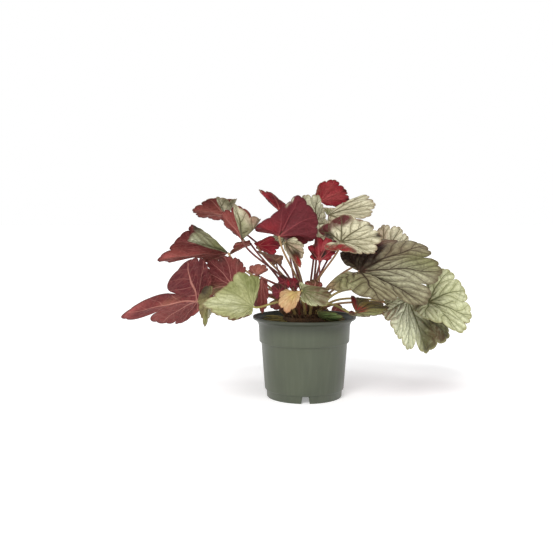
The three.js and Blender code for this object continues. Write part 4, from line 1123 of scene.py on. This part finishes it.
# %% Pot sizes
RIM_RADIUS = 52.5
POT_HEIGHT = 82.2
LIP = 2.6
WALL = 1.3
NECK_RADIUS = 46.8
SHOULDER_RADIUS = 45.9
SHOULDER_HEIGHT = 56.6
BAND_HEIGHT = 66  # where the band above the shoulder grows a little wider
BODY_RADIUS = 43.9
HEEL_RADIUS = 40.4
HEEL_HEIGHT = 8.4
FOOT_RADIUS = 38.2
FOOT_WALL = 2
FLOOR = 7.4
FLOOR_TOP = FLOOR + WALL + 0.5
RIM_ROUND = 0.55
print("pot", 2 * RIM_RADIUS, "mm wide and", POT_HEIGHT, "mm high")

# %% Pot section
def rim_arc(radius, height, start, stop):
    """A quarter of a small circle that rounds an edge of the rim."""
    turns = np.radians(np.linspace(start, stop, 4))
    return [(radius + RIM_ROUND * math.cos(t), height + RIM_ROUND * math.sin(t)) for t in turns]


OUTSIDE = [
    (0, FLOOR),
    (20, FLOOR),
    (34, FLOOR),
    (FOOT_RADIUS - FOOT_WALL, FLOOR),
    (FOOT_RADIUS - FOOT_WALL, 0.3),
    (FOOT_RADIUS - FOOT_WALL + 0.3, 0),
    (FOOT_RADIUS - 0.3, 0),
    (FOOT_RADIUS, 0.3),
    (FOOT_RADIUS + 0.5, HEEL_HEIGHT - 1.1),
    (FOOT_RADIUS + 1.0, HEEL_HEIGHT - 0.6),
    (HEEL_RADIUS - 0.3, HEEL_HEIGHT - 0.2),
    (HEEL_RADIUS, HEEL_HEIGHT + 0.4),
    (HEEL_RADIUS + 1.2, HEEL_HEIGHT + 16.5),
    (HEEL_RADIUS + 2.4, HEEL_HEIGHT + 32.5),
    (BODY_RADIUS, SHOULDER_HEIGHT - 0.9),
    (BODY_RADIUS + 0.3, SHOULDER_HEIGHT - 0.5),
    (SHOULDER_RADIUS - 0.4, SHOULDER_HEIGHT - 0.2),
    (SHOULDER_RADIUS, SHOULDER_HEIGHT + 0.4),
    (SHOULDER_RADIUS + 0.4, BAND_HEIGHT),
    (NECK_RADIUS - 0.2, POT_HEIGHT - 9.4),
    (NECK_RADIUS + 0.2, POT_HEIGHT - 7.6),
    (NECK_RADIUS + 0.9, POT_HEIGHT - 5.9),
    (NECK_RADIUS + 2.2, POT_HEIGHT - 4.4),
    (NECK_RADIUS + 3.9, POT_HEIGHT - LIP - 0.6),
    (RIM_RADIUS - 0.5, POT_HEIGHT - LIP),
    (RIM_RADIUS - 0.1, POT_HEIGHT - LIP + 0.4),
    *rim_arc(RIM_RADIUS - RIM_ROUND, POT_HEIGHT - RIM_ROUND, 0, 90),
    (RIM_RADIUS - 1.4, POT_HEIGHT),
]
INSIDE = [
    (RIM_RADIUS - 2.4, POT_HEIGHT - 0.4),
    (NECK_RADIUS + 3.1, POT_HEIGHT - 1.8),
    (NECK_RADIUS + 1.4, POT_HEIGHT - 3.2),
    (NECK_RADIUS, POT_HEIGHT - 4.8),
    (NECK_RADIUS - WALL + 0.4, POT_HEIGHT - 7),
    (NECK_RADIUS - WALL, POT_HEIGHT - 9),
    (SHOULDER_RADIUS - WALL + 0.4, BAND_HEIGHT),
    (SHOULDER_RADIUS - WALL, SHOULDER_HEIGHT + 0.6),
    (BODY_RADIUS - WALL + 0.3, SHOULDER_HEIGHT - 0.2),
    (BODY_RADIUS - WALL, SHOULDER_HEIGHT - 0.6),
    (HEEL_RADIUS - WALL, FLOOR_TOP),
    (20, FLOOR_TOP),
    (0, FLOOR_TOP),
]
POT_SECTION = OUTSIDE + INSIDE
print("pot section with", len(POT_SECTION), "points")

# %% Columns of the pot, with notches in its foot
POT_COLUMNS = 180
NOTCHES = 4
NOTCH_WIDTH = 8.4  # at the ground
NOTCH_TOP_WIDTH = 6.2
NOTCH_HEIGHT = 6.8
CLEARANCE = 0.5  # degrees on each side of a notch wall without another column


def pot_columns():
    """Angles of the mesh columns in degrees, each with the height at which its foot ends."""
    wide = math.degrees(math.asin(NOTCH_WIDTH / 2 / FOOT_RADIUS))
    narrow = math.degrees(math.asin(NOTCH_TOP_WIDTH / 2 / FOOT_RADIUS))
    spacing = 360 / NOTCHES
    columns = []
    for angle in np.arange(0, 360, 360 / POT_COLUMNS):
        off = abs((angle + spacing / 2) % spacing - spacing / 2)
        if off < narrow - CLEARANCE or off > wide + CLEARANCE:
            columns.append((angle, NOTCH_HEIGHT if off < narrow else 0.0))
    for i in range(NOTCHES):
        middle = spacing * i
        columns += [((middle + side * wide) % 360, 0.0) for side in (-1, 1)]
        columns += [((middle + side * narrow) % 360, NOTCH_HEIGHT) for side in (-1, 1)]
    return sorted(columns)


print(len(pot_columns()), "columns")

# %% Turning the section
def turned(section, columns):
    """Vertices and faces of a section turned about Z. The first and last points lie on the axis."""
    points = [(0, 0, section[0][1]), (0, 0, section[-1][1])]
    for angle, foot in columns:
        for radius, height in section[1:-1]:
            turn = math.radians(angle)
            lifted = foot + min(height, 0.3) if foot and height < foot else height
            points.append((radius * math.cos(turn), radius * math.sin(turn), lifted))
    rows = len(section) - 2
    faces = []
    for i in range(len(columns)):
        a = 2 + i * rows
        b = 2 + (i + 1) % len(columns) * rows
        faces.append((0, b, a))
        faces += [(a + k, b + k, b + k + 1, a + k + 1) for k in range(rows - 1)]
        faces.append((1, a + rows - 1, b + rows - 1))
    return points, faces


# %% [markdown]
# The plastic is dark grey green, satin, and marked by use: fine scratches and pale dust that clings to it.
# The darker band under the rim is painted shade from the lip above it. A noise stretched up and down gives
# the faint draw marks of moulding.

# %% Pot plastic
DUST_TOP = 0.082  # metres above the ground, where the dust is thickest
# Painted shade under the lip: where it begins and where it is full, in metres, and its darker grey
LIP_SHADE_FROM, LIP_SHADE_TO = 0.064, 0.078
LIP_SHADE = linear(176, 176, 168)


def pot_material(name, plain, darker, dust):
    """Recycled plastic in two tones, with dust and painted shade under the rim."""
    material, tree, shader = new_material(name)
    spots = grouped(tree, mottle, {"Broad scale": 22.0, "Fine scale": 900.0})
    where = add(tree, "TexCoord").outputs["Object"]
    stretched = add(tree, "Mapping", {"Vector": where, "Scale": (240.0, 240.0, 14.0)}).outputs[0]
    draw_marks = add(tree, "TexNoise", {"Vector": stretched, "Scale": 1.0, "Detail": 2.0}).outputs["Fac"]
    height = add(tree, "SeparateXYZ", {0: where}).outputs["Z"]
    dusty = calculate(tree, "MULTIPLY", ramp(tree, height, 0.0, DUST_TOP), spots["Broad"])
    color = mix_colors(tree, spots["Broad"], linear(*plain), linear(*darker))
    color = mix_colors(tree, calculate(tree, "MULTIPLY", dusty, 0.3), color, linear(*dust))
    color = mix_colors(tree, ramp(tree, draw_marks, 0.4, 0.75, 0.0, 0.2), color, linear(*dust))
    # Painted shade: the wall darkens toward the rim, as if the lip shadowed it
    color = mix_colors(tree, ramp(tree, height, LIP_SHADE_FROM, LIP_SHADE_TO, 0.0, 0.9), color, LIP_SHADE, "MULTIPLY")
    roughness = calculate(tree, "MULTIPLY_ADD", draw_marks, 0.18, 0.3)
    texture = calculate(tree, "MULTIPLY_ADD", spots["Fine"], 0.35, draw_marks)
    dress(tree, shader, color, roughness, texture, strength=0.25, depth=0.25)
    return material


# %% Pot object
pot_points, pot_faces = turned(POT_SECTION, pot_columns())
outside = pot_material("grey-green plastic", (74, 80, 62), (66, 72, 56), (96, 102, 84))
inside = pot_material("shaded plastic inside", (36, 56, 38), (28, 44, 30), (52, 66, 44))
pot = mesh_object("grower_pot", pot_points, pot_faces, [outside, inside])
faces_in_column = len(POT_SECTION) - 1
for face in pot.data.polygons:
    if face.index % faces_in_column >= len(OUTSIDE):
        face.material_index = 1
pot.data.set_sharp_from_angle(angle=math.radians(50))
print("pot with", len(pot.data.polygons), "faces")

# %% Drain holes
DRAINS = 8
DRAIN_RADIUS = 3
DRAIN_CIRCLE = 27
DRILL_LENGTH = 12
for i in range(DRAINS):
    place = (DRAIN_CIRCLE * outward(2 * math.pi * (i + 0.5) / DRAINS) + [0, 0, FLOOR]) * MM
    bpy.ops.mesh.primitive_cylinder_add(
        vertices=24, radius=DRAIN_RADIUS * MM, depth=DRILL_LENGTH * MM, location=place
    )
    drill = bpy.context.object
    cut = pot.modifiers.new("drain", "BOOLEAN")
    cut.object = drill
    cut.operation = "DIFFERENCE"
    bpy.context.view_layer.objects.active = pot
    bpy.ops.object.modifier_apply(modifier=cut.name)
    bpy.data.objects.remove(drill)
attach(pot, "root")
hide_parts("pot")
print("pot with", DRAINS, "drain holes and", len(pot.data.polygons), "faces")

# %% [markdown]
# ## Soil
#
# Potting mix is peat with bark and a few pale grains of perlite. From above it is a rough dark surface, a
# little heaped toward the plant. The surface is a polar grid, pushed up and down by several octaves of
# noise, and crumbs lie on it: small irregular lumps, each one a squashed ball of eighteen corners with its
# own turn. Some thin fibres lie between them, and a few old petioles that have lost their leaves lean out
# from the crown to the wall. All of it is one mesh with the surface, because nobody moves it.

# %% Soil surface
SOIL_EDGE = 72.5
SOIL_TOP = 76
SOIL_RADIUS = 44.2
LUMPS = ((9, 0.9), (4.5, 0.6), (2.2, 0.45))  # size and height of each octave
rng = np.random.default_rng(7)


def soil_height(radius):
    """Height of the smooth soil: level at the pot's wall, heaped in the middle."""
    return np.interp(radius, [0, 26, 36, SOIL_RADIUS], [SOIL_TOP, SOIL_TOP, SOIL_EDGE + 1.6, SOIL_EDGE])


def mound_faces(rings, columns):
    """Faces of a middle point, several rings round it, a ring at the base, and a point below that."""
    faces = []
    last = 1 + rings * columns
    for k in range(columns):
        n = (k + 1) % columns
        faces.append((0, 1 + k, 1 + n))
        for j in range(rings):
            a = 1 + j * columns
            faces.append((a + k, a + columns + k, a + columns + n, a + n))
        faces.append((last + k, last + columns, last + n))
    return faces


def soil_mesh():
    """A lumpy disc with a short skirt and a plain underside."""
    rings, columns = 44, 144
    radius = np.linspace(0, 1, rings + 1)[1:, None] * SOIL_RADIUS
    turn = (np.arange(columns) * 2 * np.pi / columns)[None, :]
    x, y = radius * np.cos(turn), radius * np.sin(turn)
    lumps = np.zeros_like(x)
    for size, amount in LUMPS:
        shift = rng.uniform(0, 50, 3)
        lumps += amount * np.vectorize(
            lambda px, py: noise.noise((px / size + shift[0], py / size + shift[1], shift[2]))
        )(x, y)
    top = np.stack([x, y, soil_height(radius) + lumps - 0.3], axis=-1).reshape(-1, 3)
    inner, bottom = HEEL_RADIUS - WALL - 0.6, FLOOR_TOP + 0.4
    base = [(inner * math.cos(t), inner * math.sin(t), bottom) for t in turn[0]]
    return [(0, 0, SOIL_TOP), *top.tolist(), *base, (0, 0, bottom)], mound_faces(rings, columns)


print("soil is", SOIL_TOP - SOIL_EDGE, "mm higher in the middle than at the wall")

# %% Crumbs
CORNERS = 6  # corners of a crumb's rings and of a crown scale's rings


def lump(centre, size):
    """A small irregular crumb: a rough ball of six sides round."""
    points = []
    stretch = rng.uniform(0.6, 1.25, 3) * size
    spin = rng.uniform(0, 2 * np.pi)
    for ring, height in ((0.75, -0.55), (1.0, 0.1), (0.6, 0.7)):
        for k in range(CORNERS):
            turn = spin + k * math.pi / 3
            reach = ring * rng.uniform(0.8, 1.15)
            points.append([reach * math.cos(turn), reach * math.sin(turn), height * rng.uniform(0.8, 1.1)])
    return np.array(points) * stretch + centre, tube_faces(3, CORNERS)


# %% Fibres
def strand(start, end, sag, radius, sides=5, steps=6):
    """A thin root or fibre that bows between two places."""
    points = []
    start, end = np.array(start, float), np.array(end, float)
    ahead = unit(end - start)
    side = unit(np.cross(ahead, [0.3, 0.2, 1.0]))
    other = np.cross(ahead, side)
    for i in range(steps + 1):
        t = i / steps
        middle = start + (end - start) * t + np.array([0, 0, sag * 4 * t * (1 - t)])
        for k in range(sides):
            turn = 2 * math.pi * k / sides
            thick = radius * (1 - 0.5 * t)
            points.append(middle + thick * (math.cos(turn) * side + math.sin(turn) * other))
    return np.array(points), tube_faces(steps + 1, sides)


def on_top(height_at, radius, turn, lift):
    """A place on the soil or on the crown, lifted by some millimetres."""
    return np.array([radius * math.cos(turn), radius * math.sin(turn), float(height_at(radius)) + lift])


# %% One object from many parts
def gathered(name, parts, surfaces, materials):
    """One mesh object from several (points, faces), with the number of the material of each part."""
    points, faces, slots = [], [], []
    first = 0
    for (part_points, part_faces), surface in zip(parts, surfaces):
        points.append(np.asarray(part_points, float))
        faces += [tuple(first + i for i in face) for face in part_faces]
        slots += [surface] * len(part_faces)
        first += len(part_points)
    piece = mesh_object(name, np.concatenate(points), faces, materials)
    piece.data.polygons.foreach_set("material_index", slots)
    return piece


# %% Soil and crown surfaces
ROUGH, ROUGHER = 0.85, 0.95


def rough_material(name, dark, mid, pale, scale):
    """A rough natural surface in three tones: soil, bark or dead fibre."""
    material, tree, shader = new_material(name)
    spots = grouped(tree, mottle, {"Broad scale": scale, "Fine scale": scale * 7})
    color = mix_colors(tree, spots["Broad"], linear(*dark), linear(*mid))
    color = mix_colors(tree, calculate(tree, "MULTIPLY", spots["Fine"], 0.5), color, linear(*pale))
    roughness = ramp(tree, spots["Fine"], 0, 1, ROUGH, ROUGHER)
    dress(tree, shader, color, roughness, spots["Fine"], strength=0.7, depth=0.6)
    return material


peat = rough_material("peat", (50, 38, 28), (74, 56, 40), (118, 92, 68), 160)
perlite = rough_material("perlite", (150, 146, 134), (184, 180, 168), (206, 204, 196), 300)
bark = rough_material("crown bark", (50, 34, 24), (88, 60, 40), (146, 116, 80), 140)
dead_fibre = rough_material("dead fibre", (70, 46, 32), (116, 84, 56), (160, 128, 88), 200)
old_petiole = rough_material("old petiole", (104, 96, 50), (142, 130, 70), (172, 154, 98), 220)
print("soil and crown surfaces: peat, perlite, bark, dead fibre, old petioles")

# %% Soil, crumbs and fibres
CRUMBS, CRUMB_REACH, PERLITE_SHARE = 520, 44, 0.05  # number, how far out they lie, how many are pale
SOIL_FIBRES, FIBRE_REACH = 70, 42
PEAT, PERLITE, FIBRE, OLD_PETIOLE = 0, 1, 2, 3  # places of the soil's materials
parts = [soil_mesh()]
surfaces = [PEAT]
for _ in range(CRUMBS):
    radius = CRUMB_REACH * math.sqrt(rng.uniform(0.18, 0.94))
    turn = rng.uniform(0, 2 * math.pi)
    size = rng.uniform(0.35, 1.3)
    parts.append(lump(on_top(soil_height, radius, turn, size * 0.2), size))
    surfaces.append(PERLITE if rng.uniform() < PERLITE_SHARE else PEAT)
for _ in range(SOIL_FIBRES):
    radius = FIBRE_REACH * math.sqrt(rng.uniform(0.25, 0.9))
    turn, heading = rng.uniform(0, 2 * math.pi, 2)
    start = on_top(soil_height, radius, turn, 0.6)
    end = start * [0.93, 0.93, 1] + outward(heading) * rng.uniform(2, 6)
    parts.append(strand(start, end, rng.uniform(0.2, 1.2), rng.uniform(0.12, 0.3)))
    surfaces.append(FIBRE)
print(len(parts) - 1, "crumbs and fibres")

# %% Old petioles and the soil object
OLD_PETIOLES = (148, 161, 173, 186, 199, 213, 338, 351, 7, 22)  # degrees round the crown
OLD_FOOT = np.array([0, 0, 77.2])
for degrees in OLD_PETIOLES:
    out = outward(math.radians(degrees))
    start = out * rng.uniform(17, 20) + OLD_FOOT
    end = out * rng.uniform(40, 47) + [0, 0, rng.uniform(76.5, 80)]
    parts.append(strand(start, end, rng.uniform(0.5, 2.5), rng.uniform(0.7, 1.1), 8, 10))
    surfaces.append(OLD_PETIOLE)
soil = gathered("potting_mix", parts, surfaces, [peat, perlite, dead_fibre, old_petiole])
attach(soil, "root")
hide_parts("soil")
print("soil with", len(soil.data.polygons), "faces")

# %% [markdown]
# ## Crown
#
# The crown is a short thick stem, covered by the bases of petioles that were there before. Those leave
# dark scales and dry brown fibres. A dome made knobbly with noise is the body, and rows of flat scales lean
# outward over it like the scales of a bud, with many loose fibres between them.

# %% Crown body
KNOB_SIZE, KNOB_HEIGHT = 3, 1.3


def crown_body():
    """A knobbly dome."""
    rings, columns = 22, 72
    turns = [2 * math.pi * k / columns for k in range(columns)]
    points = [(0, 0, float(crown_top(0)) - 0.5)]
    for j in range(1, rings + 1):
        radius = CROWN_RADIUS * j / rings
        rim = min((CROWN_RADIUS - radius) / 4, 1)
        for turn in turns:
            x, y = radius * math.cos(turn), radius * math.sin(turn)
            knob = noise.noise((x / KNOB_SIZE, y / KNOB_SIZE, 4.0))
            points.append((x, y, float(crown_top(radius)) - 0.8 + KNOB_HEIGHT * knob * rim))
    bottom = CROWN_BASE - 1.0
    points += [(CROWN_RADIUS * math.cos(turn), CROWN_RADIUS * math.sin(turn), bottom) for turn in turns]
    return [*points, (0, 0, bottom)], mound_faces(rings, columns)


# %% Crown scales
def scale(radius, turn, length, width, lean):
    """A pointed bud scale that stands on the dome and leans outward."""
    out = outward(turn)
    across = np.array([-math.sin(turn), math.cos(turn), 0])
    up = np.array([0, 0, 1.0])
    foot = out * radius + up * (float(crown_top(radius)) - 1.5)
    climb = out * math.sin(lean) + up * math.cos(lean)
    points = []
    for t, half in ((0, 1.0), (0.35, 1.1), (0.7, 0.7), (1.0, 0.1)):
        middle = foot + climb * length * t + out * 1.2 * t * t
        for side, back in ((-1, 0), (0, 0.5), (1, 0)):
            points.append(middle + across * side * half * width - out * back)
        for side, back in ((1, -0.4), (0, 0.1), (-1, -0.4)):
            points.append(middle + across * side * half * width * 0.98 - out * back)
    return np.array(points), tube_faces(4, CORNERS)


# %% Crown object
BARK, DRY = 0, 1  # places of the crown's materials
SCALE_ROWS = ((20.3, 30, 6.5), (15, 24, 7), (9.5, 16, 7.5), (4, 8, 7))  # radius, number, length
CROWN_FIBRES = 260
parts = [crown_body()]
surfaces = [BARK]
for ring_radius, number, length in SCALE_ROWS:
    for k in range(number):
        turn = 2 * math.pi * (k + rng.uniform(-0.3, 0.3)) / number
        lean = math.radians(ring_radius * 1.6 + rng.uniform(-8, 8))
        parts.append(scale(ring_radius, turn, length * rng.uniform(0.6, 1.1), rng.uniform(0.9, 1.6), lean))
        surfaces.append(BARK if rng.uniform() < 0.65 else DRY)
for _ in range(CROWN_FIBRES):
    turn = rng.uniform(0, 2 * math.pi)
    start = on_top(crown_top, rng.uniform(4, 21), turn, -0.6)
    spread = unit(np.array([math.cos(turn), math.sin(turn), 0.5]) + rng.uniform(-0.7, 0.7, 3))
    end = start + spread * rng.uniform(3, 11)
    parts.append(strand(start, end, rng.uniform(-1.5, 1.5), rng.uniform(0.15, 0.55)))
    surfaces.append(BARK if rng.uniform() < 0.45 else DRY)
crown = gathered("woody_crown", parts, surfaces, [bark, dead_fibre])
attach(crown, "root")
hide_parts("crown")
print("crown with", len(crown.data.polygons), "faces")
